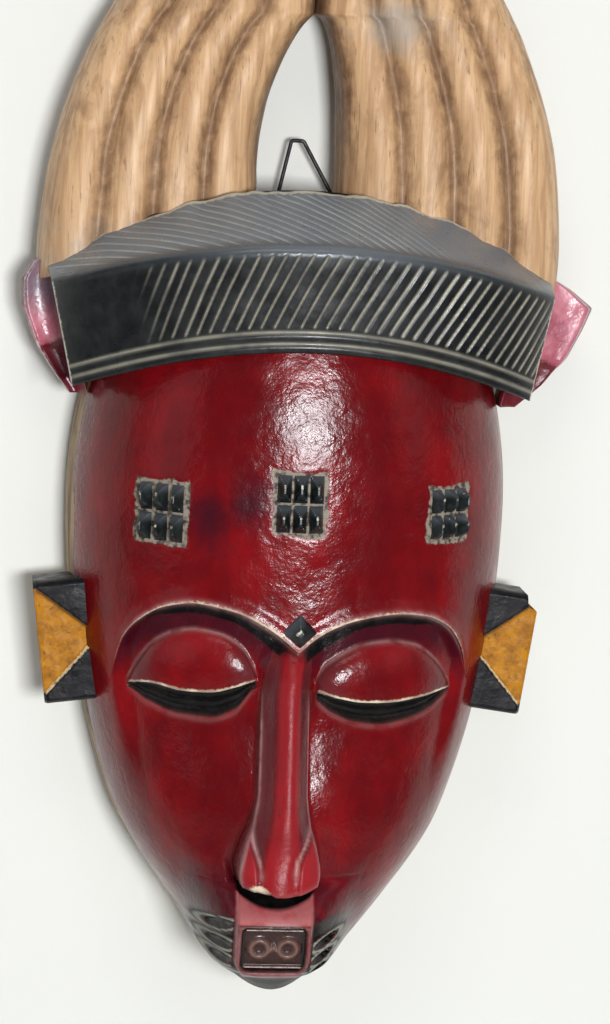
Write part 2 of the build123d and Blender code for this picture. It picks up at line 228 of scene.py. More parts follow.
def join_solids(solids):
    """Several (points, faces, masks) as one."""
    points, faces, masks = [], [], {}
    for solid_points, solid_faces, solid_masks in solids:
        first = sum(len(p) for p in points)
        points.append(solid_points)
        faces += [[k + first for k in face] for face in solid_faces]
        for key, values in solid_masks.items():
            masks.setdefault(key, []).append(np.ravel(values))
    return np.concatenate(points), faces, {k: np.concatenate(v) for k, v in masks.items()}


def edge_loop(rows, columns, first=0):
    """Point numbers round the edge of a grid."""
    number = np.arange(rows * columns).reshape(rows, columns) + first
    return np.concatenate([number[0, :-1], number[:-1, -1], number[-1, :0:-1], number[:0:-1, 0]])


def over_grid(value, grid):
    """A mask's values at each point of a grid."""
    return np.broadcast_to(value, grid.shape[:2]).ravel()


def slab(front, back, masks):
    """A closed solid between two grids of points of the same shape."""
    rows, columns = front.shape[:2]
    count = rows * columns
    faces = grid_faces(rows, columns) + grid_faces(rows, columns, count)
    edge = edge_loop(rows, columns)
    after = np.roll(edge, -1)
    faces += np.stack([edge, after, after + count, edge + count], axis=-1).tolist()
    points = np.concatenate([front.reshape(-1, 3), back.reshape(-1, 3)])
    both = {k: np.tile(over_grid(v, front), 2) for k, v in masks.items()}
    return points, faces, both


def tube(rings, masks):
    """A closed solid from rings of points, with a face over each end."""
    rows, columns = rings.shape[:2]
    faces = grid_faces(rows, columns, around=True)
    faces.append(list(range(columns)))
    faces.append(list(range((rows - 1) * columns, rows * columns)))
    return rings.reshape(-1, 3), faces, {k: over_grid(v, rings) for k, v in masks.items()}


def stitch(outer, inner, points, middle_z):
    """Triangles between two closed loops of point numbers that run round the same middle."""
    faces = []

    def turn(loop):
        at = points[loop]
        angle = np.unwrap(np.arctan2(at[:, 2] - middle_z, at[:, 0]))
        return np.append(angle, angle[0] + np.sign(angle[-1] - angle[0]) * 2 * pi)

    a, b = turn(outer), turn(inner)
    if a[-1] < a[0]:
        a, b = -a, -b
    i = j = 0
    while i < len(outer) or j < len(inner):
        if j >= len(inner) or (i < len(outer) and a[i + 1] <= b[j + 1]):
            faces.append([outer[i], outer[(i + 1) % len(outer)], inner[j % len(inner)]])
            i += 1
        else:
            faces.append([inner[(j + 1) % len(inner)], inner[j], outer[i % len(outer)]])
            j += 1
    return faces


# ---- Materials ----


def paint(red, green, blue):
    """A display colour, 0 to 255, as the linear colour that a shader takes."""
    linear = []
    for value in (red, green, blue):
        c = value / 255
        linear.append(c / 12.92 if c <= 0.04045 else ((c + 0.055) / 1.055) ** 2.4)
    return (*linear, 1.0)


class Finish:
    """A material with one Principled shader, and short calls for the nodes that feed it."""

    def __init__(self, name, roughness=0.5, **sockets):
        self.material = bpy.data.materials.new(name)
        self.material.use_nodes = True
        self.nodes = self.material.node_tree.nodes
        self.links = self.material.node_tree.links
        self.shader = self.nodes["Principled BSDF"]
        self.shader.inputs["Roughness"].default_value = roughness
        for key, value in sockets.items():
            self.shader.inputs[key.replace("_", " ")].default_value = value
        self.place = self.nodes.new("ShaderNodeTexCoord").outputs["Object"]

    def put(self, socket, value):
        if isinstance(value, bpy.types.NodeSocket):
            self.links.new(value, socket)
        else:
            socket.default_value = value

    def mask(self, name):
        node = self.nodes.new("ShaderNodeAttribute")
        node.attribute_name = name
        return node.outputs["Fac"]

    def scaled(self, stretch):
        node = self.nodes.new("ShaderNodeVectorMath")
        node.operation = "MULTIPLY"
        self.put(node.inputs[0], self.place)
        node.inputs[1].default_value = [1 / s for s in stretch]
        return node.outputs[0]

    def noise(self, size, detail=3, roughness=0.5, stretch=(1, 1, 1), distortion=0.0):
        """Noise from 0 to 1 with features of the given size in millimetres."""
        node = self.nodes.new("ShaderNodeTexNoise")
        self.put(node.inputs["Vector"], self.scaled(stretch))
        node.inputs["Scale"].default_value = 1 / (size * MM)
        node.inputs["Detail"].default_value = detail
        node.inputs["Roughness"].default_value = roughness
        node.inputs["Distortion"].default_value = distortion
        return node.outputs["Fac"]

    def math(self, operation, a, b=0.0, clamp=False):
        node = self.nodes.new("ShaderNodeMath")
        node.operation = operation
        node.use_clamp = clamp
        self.put(node.inputs[0], a)
        self.put(node.inputs[1], b)
        return node.outputs[0]

    def span(self, value, low, high, out_low=0.0, out_high=1.0):
        """value from low..high to out_low..out_high, clamped and eased."""
        node = self.nodes.new("ShaderNodeMapRange")
        node.interpolation_type = "SMOOTHSTEP"
        self.put(node.inputs["Value"], value)
        for key, number in zip(
            ("From Min", "From Max", "To Min", "To Max"), (low, high, out_low, out_high)
        ):
            node.inputs[key].default_value = number
        return node.outputs["Result"]

    def patches(self, low, high, *noise, out=(0.0, 1.0), **more):
        """Noise that goes from out's first value where it is low to its second where it is high."""
        return self.span(self.noise(*noise, **more), low, high, *out)

    def lay(self, base, over, share, most_of_it):
        """Colour over laid on base, no thicker than most_of_it."""
        return self.blend(base, over, self.math("MULTIPLY", share, most_of_it))

    def blend(self, a, b, share):
        """Colour a where share is 0 and colour b where it is 1."""
        node = self.nodes.new("ShaderNodeMix")
        node.data_type = "RGBA"
        self.put(node.inputs["Factor"], share)
        self.put(node.inputs[6], a)
        self.put(node.inputs[7], b)
        return node.outputs[2]

    def bump(self, height, depth):
        """Adds relief of the given depth in millimetres to the shader's normal."""
        node = self.nodes.new("ShaderNodeBump")
        node.inputs["Distance"].default_value = depth * MM
        self.put(node.inputs["Height"], height)
        normal = self.shader.inputs["Normal"]
        if normal.is_linked:
            self.links.new(normal.links[0].from_socket, node.inputs["Normal"])
        self.links.new(node.outputs["Normal"], normal)

    def color(self, value):
        self.put(self.shader.inputs["Base Color"], value)

    def roughness(self, value):
        self.put(self.shader.inputs["Roughness"], value)


def worn(finish, name, low=0.35, high=0.75, size=2.2):
    """A mask whose edge is broken up by fine noise."""
    broken = finish.math("ADD", finish.mask(name), finish.noise(size, 4, 0.6, distortion=0.4))
    return finish.span(broken, low + 0.45, high + 0.45)


def face_finish():
    f = Finish("face_paint", Specular_IOR_Level=0.22)
    cloud = f.patches(0.35, 0.68, 38, 3, 0.55)
    streak = f.patches(0.3, 0.75, 7, 4, 0.6, (1, 1, 2.2))
    red = f.blend(paint(92, 6, 11), paint(122, 10, 16), cloud)
    red = f.lay(red, paint(72, 6, 12), streak, 0.4)
    # painted highlight: lighter red on the lids' middles, the nose's ridge and wings and the upper
    # lip, where they face the light
    red = f.lay(red, paint(168, 36, 44), f.mask("bright"), 0.75)
    # painted shade: darker brown on the face's turned-away sides, the nose's sides and the lids'
    # ends; on the mouth's frame the brown is the frame's own tone
    red = f.lay(red, paint(84, 36, 40), f.mask("brown"), 0.85)
    speck = f.patches(0.68, 0.76, 1.6, 2, 0.5)
    red = f.lay(red, paint(52, 6, 10), speck, 0.4)
    # purple-black: real smudges beside the studs, and painted shade in the eye sockets under the
    # brows, by the nose's root and beside the jaw
    red = f.lay(red, paint(48, 12, 24), worn(f, "smudge", 0.0, 1.0, 7), 0.85)
    chalk = f.blend(paint(136, 126, 112), paint(58, 50, 46), f.patches(0.42, 0.66, 2.0, 3))
    red = f.blend(red, chalk, worn(f, "chalk", 0.3, 0.6, 1.5))
    black = f.blend(paint(9, 8, 8), paint(24, 19, 19), f.patches(0.4, 0.75, 5, 4))
    # besides black paint, this layer carries painted shadow under the nose and painted shade in the
    # gap round the mouth plate
    red = f.blend(red, black, worn(f, "black", 0.2, 0.75, 3.0))
    ash = f.blend(paint(22, 18, 18), paint(140, 142, 130), f.span(f.mask("ash"), 0.5, 1.0))
    red = f.blend(red, ash, worn(f, "ash", 0.35, 0.75, 3))
    # pale pink: rubbed paint on the brow and lid edges and the mouth's frame, and painted
    # highlights on the nose's edges and creases, the upper lip and its glint
    rubbed = f.math("MULTIPLY", f.mask("rubbed"), f.patches(0.3, 0.6, 6, 4, 0.6, out=(0.35, 1.0)))
    red = f.blend(red, paint(168, 122, 120), rubbed)
    cream = f.blend(paint(160, 134, 118), paint(212, 196, 172), f.patches(0.4, 0.65, 7, 3))
    red = f.blend(red, cream, worn(f, "worn", 0.3, 0.7, 1.3))
    grain = f.patches(0.35, 0.7, 5, 4, 0.6, (1, 1, 6))
    wood = f.blend(paint(176, 152, 122), paint(120, 96, 72), grain)
    wood = f.blend(wood, paint(92, 80, 72), f.patches(0.5, 0.72, 16, 4, 0.6))
    red = f.blend(red, wood, worn(f, "wood", 0.3, 0.7, 2.5))
    f.color(red)
    dull = f.math("MAXIMUM", f.mask("chalk"), f.mask("ash"))
    dull = f.math("MAXIMUM", dull, f.mask("wood"), True)
    gloss = f.patches(0.3, 0.7, 9, 3, out=(0.17, 0.26))
    dull = f.math("ADD", f.math("MULTIPLY", dull, 0.5), f.math("MULTIPLY", f.mask("bright"), 0.4))
    f.roughness(f.math("ADD", gloss, dull))
    f.bump(f.noise(2.8, 3, 0.55), 0.22)
    f.bump(f.noise(0.9, 2), 0.06)
    return f.material


def lacquer_finish(name, dark, light, size=6):
    f = Finish(name, Specular_IOR_Level=0.35)
    base = f.blend(dark, light, f.patches(0.35, 0.75, size, 4, 0.6))
    pale = f.blend(paint(158, 157, 148), paint(214, 204, 178), f.noise(9))
    # grey-blue painted sheen, with some dust, where the mask says
    base = f.lay(base, paint(132, 139, 146), f.mask("dust"), 0.78)
    chalked = f.patches(0.25, 0.6, 9, 3, out=(0.6, 1.0))
    base = f.blend(base, pale, f.math("MULTIPLY", f.mask("line"), chalked))
    base = f.blend(base, pale, worn(f, "worn", 0.25, 0.6, 1.4))
    f.color(base)
    gloss = f.patches(0.3, 0.7, 8, 3, out=(0.26, 0.42))
    f.roughness(f.math("ADD", gloss, f.math("MULTIPLY", f.mask("worn"), 0.3)))
    f.bump(f.noise(2.4, 3), 0.08)
    return f.material


def horn_finish():
    f = Finish("horn_wood", Specular_IOR_Level=0.4)
    grain = f.noise(3.2, 5, 0.6, (1, 1, 14), 0.6)
    wood = f.blend(paint(200, 162, 122), paint(170, 132, 94), f.span(grain, 0.36, 0.66))
    patch = f.patches(0.5, 0.74, 13, 5, 0.62, (1, 1, 2.6), 0.5)
    wood = f.lay(wood, paint(132, 96, 66), patch, 0.8)
    pale = f.patches(0.58, 0.75, 9, 4, 0.6, (1, 1, 5))
    wood = f.lay(wood, paint(220, 186, 148), pale, 0.55)
    fleck = f.patches(0.62, 0.7, 1.4, 3, 0.6, (1, 1, 9))
    wood = f.lay(wood, paint(92, 64, 44), fleck, 0.5)
    # painted shade in the grooves and by the gap, in dark brown
    wood = f.lay(wood, paint(88, 60, 42), worn(f, "dark", 0.1, 0.9, 5), 0.75)
    wood = f.lay(wood, paint(146, 138, 128), worn(f, "grey", 0.1, 0.9, 7), 0.7)
    f.color(wood)
    f.roughness(f.span(grain, 0.3, 0.7, 0.42, 0.62))
    f.bump(grain, 0.35)
    f.bump(f.noise(1.1, 3, 0.5, (1, 1, 12)), 0.1)
    return f.material


def steel_finish(name, color, roughness):
    f = Finish(name, Metallic=1.0)
    f.color(f.blend(color, paint(70, 62, 56), f.patches(0.5, 0.75, 1.8, 4)))
    f.roughness(f.span(f.noise(1.2, 3), 0.3, 0.7, roughness, roughness + 0.2))
    f.bump(f.noise(0.7, 3), 0.03)
    return f.material


def dowel_finish():
    f = Finish("dowel_wood")
    f.color(f.blend(paint(176, 140, 98), paint(120, 88, 58), f.noise(2.4, 4, 0.6, (1, 1, 8))))
    f.roughness(f.patches(0.3, 0.7, 2, 3, out=(0.55, 0.75)))
    f.bump(f.noise(1.2, 3, 0.5, (1, 1, 10)), 0.08)
    return f.material


def flap_finish():
    f = Finish("flap_paint", Specular_IOR_Level=0.4)
    pink = f.blend(paint(184, 110, 122), paint(150, 70, 86), f.patches(0.35, 0.7, 9, 4, 0.6))
    pink = f.lay(pink, paint(96, 90, 100), f.mask("dust"), 0.9)
    pink = f.blend(pink, paint(92, 18, 30), worn(f, "dark", 0.2, 0.8, 3))
    pink = f.blend(pink, paint(206, 186, 180), worn(f, "worn", 0.3, 0.6, 1.3))
    f.color(pink)
    f.roughness(f.patches(0.3, 0.7, 6, 3, out=(0.22, 0.36)))
    f.bump(f.noise(3.0, 3), 0.25)
    return f.material


def ornament_finish():
    f = Finish("ornament_paint", Specular_IOR_Level=0.12)
    black = f.blend(paint(15, 15, 18), paint(38, 34, 35), f.patches(0.4, 0.75, 6, 4, 0.6))
    ochre = f.blend(paint(172, 114, 20), paint(132, 82, 12), f.patches(0.35, 0.7, 5, 5, 0.65))
    pit = f.patches(0.58, 0.72, 2.2, 4)
    ochre = f.lay(ochre, paint(70, 48, 26), pit, 0.6)
    color = f.blend(black, ochre, worn(f, "ochre", 0.3, 0.6, 1.2))
    # painted shade on the upper bevels; the pale after it is worn paint on the edges and painted
    # highlight on the lower bevels
    color = f.blend(color, paint(110, 80, 52), worn(f, "brown", 0.3, 0.7, 1.5))
    color = f.blend(color, paint(214, 196, 158), worn(f, "worn", 0.3, 0.6, 1.0))
    f.color(color)
    f.roughness(f.patches(0.3, 0.7, 5, 3, out=(0.3, 0.48)))
    f.bump(f.noise(1.8, 4), 0.15)
    return f.material


def mouth_finish():
    f = Finish("mouth_plate_paint", Specular_IOR_Level=0.4)
    brown = f.blend(paint(44, 20, 18), paint(104, 78, 70), f.mask("relief"))
    # painted shade at the plate's edges
    brown = f.blend(brown, paint(16, 12, 12), worn(f, "black", 0.2, 0.8, 1.2))
    brown = f.blend(brown, paint(170, 156, 148), worn(f, "worn", 0.3, 0.6, 0.8))
    f.color(brown)
    f.roughness(f.patches(0.3, 0.7, 3, 3, out=(0.25, 0.4)))
    f.bump(f.noise(1.2, 3), 0.08)
    return f.material


# ---- The face ----

FACE_HALF_WIDTH = node_box("face_shell")[1][0]
FACE_TOP_Z = node_box("face_shell")[1][2]
FACE_DEPTH = 84.0
FACE_WIDEST_Z = -130.0
FACE_BELOW = 180.0
JAW_START_Z = -240.0
JAW_RUN = 50.0
JAW_NARROWING = 0.15
FACE_POWER = 2.15
RIM = 4.0
SHELL_WALL = 9.0
SHELL_FRONT = 12.0
FACE_END_Z = FACE_WIDEST_Z - FACE_BELOW + 0.4
HOLLOW_TOP_Z = -76.0
HOLLOW_END_Z = -294.0
HOLLOW_MIDDLE_Z = -180.0
PAINT_EDGE_Y = -24.0


def face_half_width(z):
    above = FACE_HALF_WIDTH - 3.4 * ((z - FACE_WIDEST_Z) / 34) ** 2
    low = unit((FACE_WIDEST_Z - z) / FACE_BELOW)
    narrowing = 1 - JAW_NARROWING * ease(JAW_START_Z, JAW_START_Z - JAW_RUN, z)
    return np.where(z > FACE_WIDEST_Z, above, FACE_HALF_WIDTH * narrowing * (1 - low**2) ** 0.55)


def face_depth(z):
    above = FACE_DEPTH - 6 * ((z - FACE_WIDEST_Z) / 68) ** 2
    low = unit((FACE_WIDEST_Z - z) / FACE_BELOW)
    return np.where(z > FACE_WIDEST_Z, above, FACE_DEPTH * np.sqrt(1 - low**6))


def face_y(x, z):
    share = unit(np.abs(x) / face_half_width(z))
    return -RIM - (face_depth(z) - RIM) * (1 - share**FACE_POWER) ** (1 / FACE_POWER)


# Outlines of the carving, seen from the front: height of each line for a place across the face.
BROW_V = -0.4
brow_left = curve(
    (-90, -216), (-65, -202), (-62.5, -184), (-60, -174), (-55, -166.8), (-46, -160.5),
    (-36, -158.3), (-23, -160.3), (-12, -165), (-6, -169), (BROW_V, -173.5),
)
brow_right = curve(
    (BROW_V, -173.5), (5, -169), (11.5, -165), (21, -161.8), (34, -160.2), (45, -161.6),
    (54, -166), (60, -174), (66, -193), (90, -206),
)
lid_top = curve(
    (-90, -210), (-66, -198), (-58, -190), (-55, -183), (-49, -174.2), (-42, -170),
    (-35, -168.5), (-27, -169.5), (-20, -173.3), (-16, -178.8), (-13, -184), (-4, -186),
    (5, -186), (9.5, -179.5), (16, -174.8), (23, -171.8), (32, -170.9), (42, -172.7),
    (51, -179.5), (57, -188), (66, -197.5), (90, -210),
)
lid_low = curve(
    (-90, -213), (-66, -201), (-58, -191), (-49, -189), (-40, -190), (-30, -189.5),
    (-21, -187), (-13, -184.6), (-4, -189), (5, -187.6), (14, -189.8), (23, -191.4),
    (33, -191.8), (45, -191), (57, -189.8), (66, -201), (90, -213),
)
crescent = curve(
    (-90, -217), (-66, -205), (-58, -193), (-51, -196.6), (-40, -199.7), (-30, -199.9),
    (-21, -196.4), (-14, -188), (-4, -193.5), (5, -191), (13, -196.2), (22, -199.8),
    (31, -201), (42, -199.6), (50, -196.8), (57, -192), (66, -205), (90, -217),
)
EYES = ((-58.2, -13.6), (6.4, 57.4))  # where each eye starts and ends, from left to right

nose_half = curve(
    (-310, 1.5), (-303, 7), (-296, 10.5), (-290, 12.6), (-268, 13.1), (-259, 13.0), (-255, 13.3),
    (-249, 14.4), (-241, 13.0), (-233, 10.4), (-222, 8.8), (-190, 8.6), (-176, 7.4), (-166, 5.5),
    (-62, 8),
)
nose_x = curve(
    (-310, 0), (-290, -4.9), (-262, -4.9), (-249, -4.8), (-222, -4.0), (-190, -4.0),
    (-178, -2.6), (-168, -0.4), (-62, 0),
)
# how far the nose's ridge is off its middle, as a share of its half width
nose_lean = curve((-256, 0.0), (-246, 0.04), (-232, 0.14), (-190, 0.18), (-172, 0.15))
nose_ridge_y = curve(
    (-257, -105.2), (-250, -104.3), (-231, -99), (-192, -91), (-176, -86.5), (-168, -84.8),
)
muzzle_y = curve(
    (-310, -6), (-308, -36), (-303, -55), (-297, -69), (-291.5, -79), (-289, -83.2), (-270, -89.8),
    (-268.6, -90.4), (-259.5, -84), (-256, -80),
)
TIP_Z = (-255.4, -258.6)  # front and back edge of the underside of the nose, at its middle
TIP_RISE = {"left": 1.4, "right": 3.4}  # how much higher that edge is at the wings
LIP_TOP_Z = -264.3  # at its middle, where the shadow under the nose ends
LIP_RISE = 4.6
LIP_LOW_Z = -269.6
PLATE_Z = (-270.0, -287.8)
PLATE_X = (-16.2, 6.6)
PLATE_CORNER = 3.2
FRAME_LOW_Z = -290.0
# The cuts beside the mouth: middle x and z, half length and slope.
GOUGES = (
    (-24.0, -271.6, 4.4, 0.30),
    (-23.4, -279.0, 4.2, 0.05),
    (-22.4, -285.2, 3.6, -0.05),
    (14.6, -277.3, 4.2, 0.35),
    (13.6, -283.6, 3.8, 0.35),
    (12.6, -289.2, 3.2, 0.35),
)
GOUGE_HALF = 1.75


def brow(x):
    return np.where(x < BROW_V, brow_left(x), brow_right(x))


def tip_rise(x):
    rise = np.where(x < -4, TIP_RISE["left"], TIP_RISE["right"])
    return rise * np.clip(np.abs(x + 4) / 13, 0, 1.1) ** 2


def lip_top(x):
    return LIP_TOP_Z + LIP_RISE * np.clip(np.abs(x + 4.6) / 13, 0, 1.05) ** 2


def plate_pocket(x, z):
    """1 inside the pocket for the mouth plate and 0 outside it, with rounded corners."""
    off_x = np.abs(x - sum(PLATE_X) / 2) - (PLATE_X[1] - PLATE_X[0]) / 2 + PLATE_CORNER
    off_z = np.abs(z - sum(PLATE_Z) / 2) - (PLATE_Z[0] - PLATE_Z[1]) / 2 + PLATE_CORNER
    outside = np.hypot(most(off_x, 0), most(off_z, 0)) - PLATE_CORNER
    away = outside + np.minimum(most(off_x, off_z), 0)
    return ease(0.45, -0.45, away)


def gouges(x, z):
    """How much of a gouge is cut at each place, and the raised wood round it."""
    cut, ridge = np.zeros_like(x), np.zeros_like(x)
    for middle_x, middle_z, half_length, slope in GOUGES:
        along = (x - middle_x) / half_length
        off = (z - middle_z - slope * (x - middle_x)) / GOUGE_HALF
        reach = np.hypot(along, off)
        cut = most(cut, ease(1.12, 0.55, reach))
        ridge = most(ridge, bell(reach, 1.5, 0.45))
    return cut, ridge * (1 - cut)


def row_lines(x):
    """The heights that rows of the grid follow, from the top down, and the rows between them."""
    line = [np.full_like(x, FACE_TOP_Z), brow(x)]
    counts = [118, 4, 12, 28, 3, 12, 60, 8, 8, 10, 3, 19, 3, 4, 3, 22]
    line.append(line[-1] - 1.0)
    line.append(np.minimum(lid_top(x), line[-1] - 1.2))
    line.append(np.minimum(lid_low(x), line[-1] - 1.5))
    line.append(line[-1] - 0.8)
    line.append(np.minimum(crescent(x), line[-1] - 1.2))
    line += [TIP_Z[0] + tip_rise(x), TIP_Z[1] + tip_rise(x)]
    line.append(lip_top(x))
    for z in (LIP_LOW_Z, PLATE_Z[0] - 0.8, PLATE_Z[1] + 0.4, PLATE_Z[1] - 0.5):
        line.append(np.full_like(x, z))
    for z in (FRAME_LOW_Z, FRAME_LOW_Z - 1.2, FACE_END_Z):
        line.append(np.full_like(x, z))
    return line, counts


EYE_EDGE = 0.82  # share of the half width past which the columns spread by angle


def column_lines(z):
    """The places that columns of the grid follow, and the columns between them."""
    half = face_half_width(z)
    wide = np.minimum(nose_half(z), 0.55 * half)
    middle = nose_x(z)
    edge = np.minimum(0.9, 0.12 * wide)
    ridge = middle + nose_lean(z) * wide
    line = [
        -EYE_EDGE * half,
        middle - wide - edge,
        middle - wide + edge,
        ridge - 0.42 * wide,
        ridge + 0.42 * wide,
        middle + wide - edge,
        middle + wide + edge,
        EYE_EDGE * half,
    ]
    return line, [66, 4, 11, 9, 11, 4, 66]


def spread(lines, counts):
    """Places along a set of lines, with so many steps between each pair of them."""
    parts = []
    for low, high, count in zip(lines, lines[1:], counts):
        share = (np.arange(count) / count).reshape((-1,) + (1,) * low.ndim)
        parts.append(low + (high - low) * share)
    parts.append(lines[-1][None])
    return np.concatenate(parts)


def pick(lines, counts, axis):
    """spread() for lines that are whole grids: place k along axis comes from row or column k."""
    placed = spread(lines, counts)
    k = np.arange(placed.shape[0])
    return placed[k, k, :] if axis == 0 else placed[k, :, k].T


SIDE_COLUMNS = 34
RIM_COLUMNS = 3


def face_grid():
    """Places of the face's grid, x and z, and how far each column is down the straight rim."""
    _, row_counts = row_lines(np.zeros(1))
    _, column_counts = column_lines(np.zeros(1))
    inner = sum(column_counts) + 1
    columns = inner + 2 * (SIDE_COLUMNS + RIM_COLUMNS)
    x = np.linspace(-80, 80, columns)[None, :] * np.ones((sum(row_counts) + 1, 1))
    z = np.zeros_like(x)
    for _ in range(10):
        lines, _ = row_lines(x)
        z = mix(z, pick(lines, row_counts, 0), 0.8) if z.any() else pick(lines, row_counts, 0)
        half = face_half_width(z)
        first, last = SIDE_COLUMNS + RIM_COLUMNS, SIDE_COLUMNS + RIM_COLUMNS + inner
        lines, _ = column_lines(z[:, first:last])
        x[:, first:last] = pick(lines, column_counts, 1)
        corner = np.arccos(EYE_EDGE ** (FACE_POWER / 2))
        angle = corner * np.arange(SIDE_COLUMNS) / SIDE_COLUMNS
        share = np.cos(angle) ** (2 / FACE_POWER)
        x[:, RIM_COLUMNS:first] = -half[:, RIM_COLUMNS:first] * share
        x[:, last:-RIM_COLUMNS] = half[:, last:-RIM_COLUMNS] * share[::-1]
        x[:, :RIM_COLUMNS] = -half[:, :RIM_COLUMNS]
        x[:, -RIM_COLUMNS:] = half[:, -RIM_COLUMNS:]
    rim = np.zeros(columns)
    rim[:RIM_COLUMNS] = 1 - np.arange(RIM_COLUMNS) / RIM_COLUMNS
    rim[-RIM_COLUMNS:] = (np.arange(RIM_COLUMNS) + 1) / RIM_COLUMNS
    return x, z, rim


def eye_relief(x, z, start, end):
    """A closed eye: the lid's rise, the groove under it and the masks for their edges."""
    middle, half = (start + end) / 2, (end - start) / 2
    width = np.sqrt(unit(1 - ((x - middle) / half) ** 2))
    inside = ease(-half, -half + 1.6, -abs(x - middle))
    low = np.minimum(lid_low(x), lid_top(x) - 1.5)
    share = (z - low) / (lid_top(x) - low)
    on_lid = ease(-0.8, 0, z - low) * ease(0.3, -0.3, z - lid_top(x)) * inside
    over = np.sqrt(unit(1 - (unit(share - 0.34) / 0.66) ** 2))
    under = 1 - 0.12 * np.clip((0.34 - share) / 0.34, 0, 1.5) ** 2
    lid = on_lid * (0.7 + width**0.8 * 5.6 * np.where(share > 0.34, over, under))
    depth = unit((low - z) / most(low - crescent(x), 1))
    in_groove = ease(-0.3, 0.3, low - z) * (depth < 1) * inside
    groove = -2.6 * np.sin(pi * depth) ** 0.7 * width**0.5 + 0.7 * bell(depth, 0.45, 0.12)
    lip = 0.45 * bell(z, crescent(x), 0.9) * inside
    edge = bell(z, low - 0.1, 1.0) * inside
    under_eye = bell(z, crescent(x) - 0.3, 1.2)
    return {
        "rise": lid + in_groove * groove * width**0.3 + lip,
        "black": in_groove * ease(0.02, 0.12, depth) * ease(1.0, 0.86, depth),
        "worn": edge * (0.7 + 0.3 * width),
        "rubbed": inside * most(0.6 * bell(z, lid_top(x), 0.6), 0.2 * under_eye),
        "lid": on_lid * width,
        "ends": on_lid * ease(0.95, 0.6, width),
    }


def face_relief(x, z):
    """How far the carving stands in front of the plain face, and the paint masks."""
    half = face_half_width(z)
    below = brow(x) - z
    out = np.abs(x) / half
    temple = ease(0.86, 0.74, out)
    in_socket = ease(0, 1.0, below)
    recess = 5.8 * in_socket * ease(-238, -196, z) * temple
    ridge = 1.0 * ease(-6, -0.5, -np.abs(below)) * (below < 0.5) * temple
    rise = ridge - recess
    strong = ease(0.80, 0.50, out)
    near_v = ease(24, 7, np.abs(x - BROW_V))
    thick = 2.0 + 2.4 * strong + 2.6 * near_v
    black = in_socket * ease(thick + 1.0, thick - 0.8, below) * (0.3 + 0.7 * strong) * temple
    corner = in_socket * ease(14, 6, np.abs(x - nose_x(z))) * ease(-190, -176, z)
    # painted shade in the socket under the brow and in its corner by the nose's root
    socket_shade = most(in_socket * ease(20, 5, below), 1.1 * corner) * temple
    mark = bell(below, 0.0, 0.55 + 0.45 * strong) * temple
    mark = mark * (0.6 + 0.4 * ease(30, 6, np.abs(x - BROW_V)))
    # painted highlight on the lids' middles; in brown, painted shade on the face's turned-away
    # sides and at the lids' ends
    bright = np.zeros_like(x)
    rubbed = 0.9 * bell(below, 0.2, 1.3) * temple
    brown = 0.5 * ease(0.93, 1.0, out)
    for start, end in EYES:
        eye = eye_relief(x, z, start, end)
        rise = rise + eye["rise"]
        black = most(black * (1 - eye["lid"]), eye["black"])
        mark = most(mark, eye["worn"])
        rubbed = most(rubbed, eye["rubbed"])
        socket_shade = socket_shade * (1 - eye["lid"])
        bright = most(bright, 0.5 * ease(0.75, 1.0, eye["lid"]))
        brown = most(brown, 0.8 * eye["ends"])
    masks = {"black": black, "worn": mark, "smudge": 0.95 * socket_shade}
    masks.update(bright=bright, brown=brown, rubbed=rubbed)
    return rise, masks


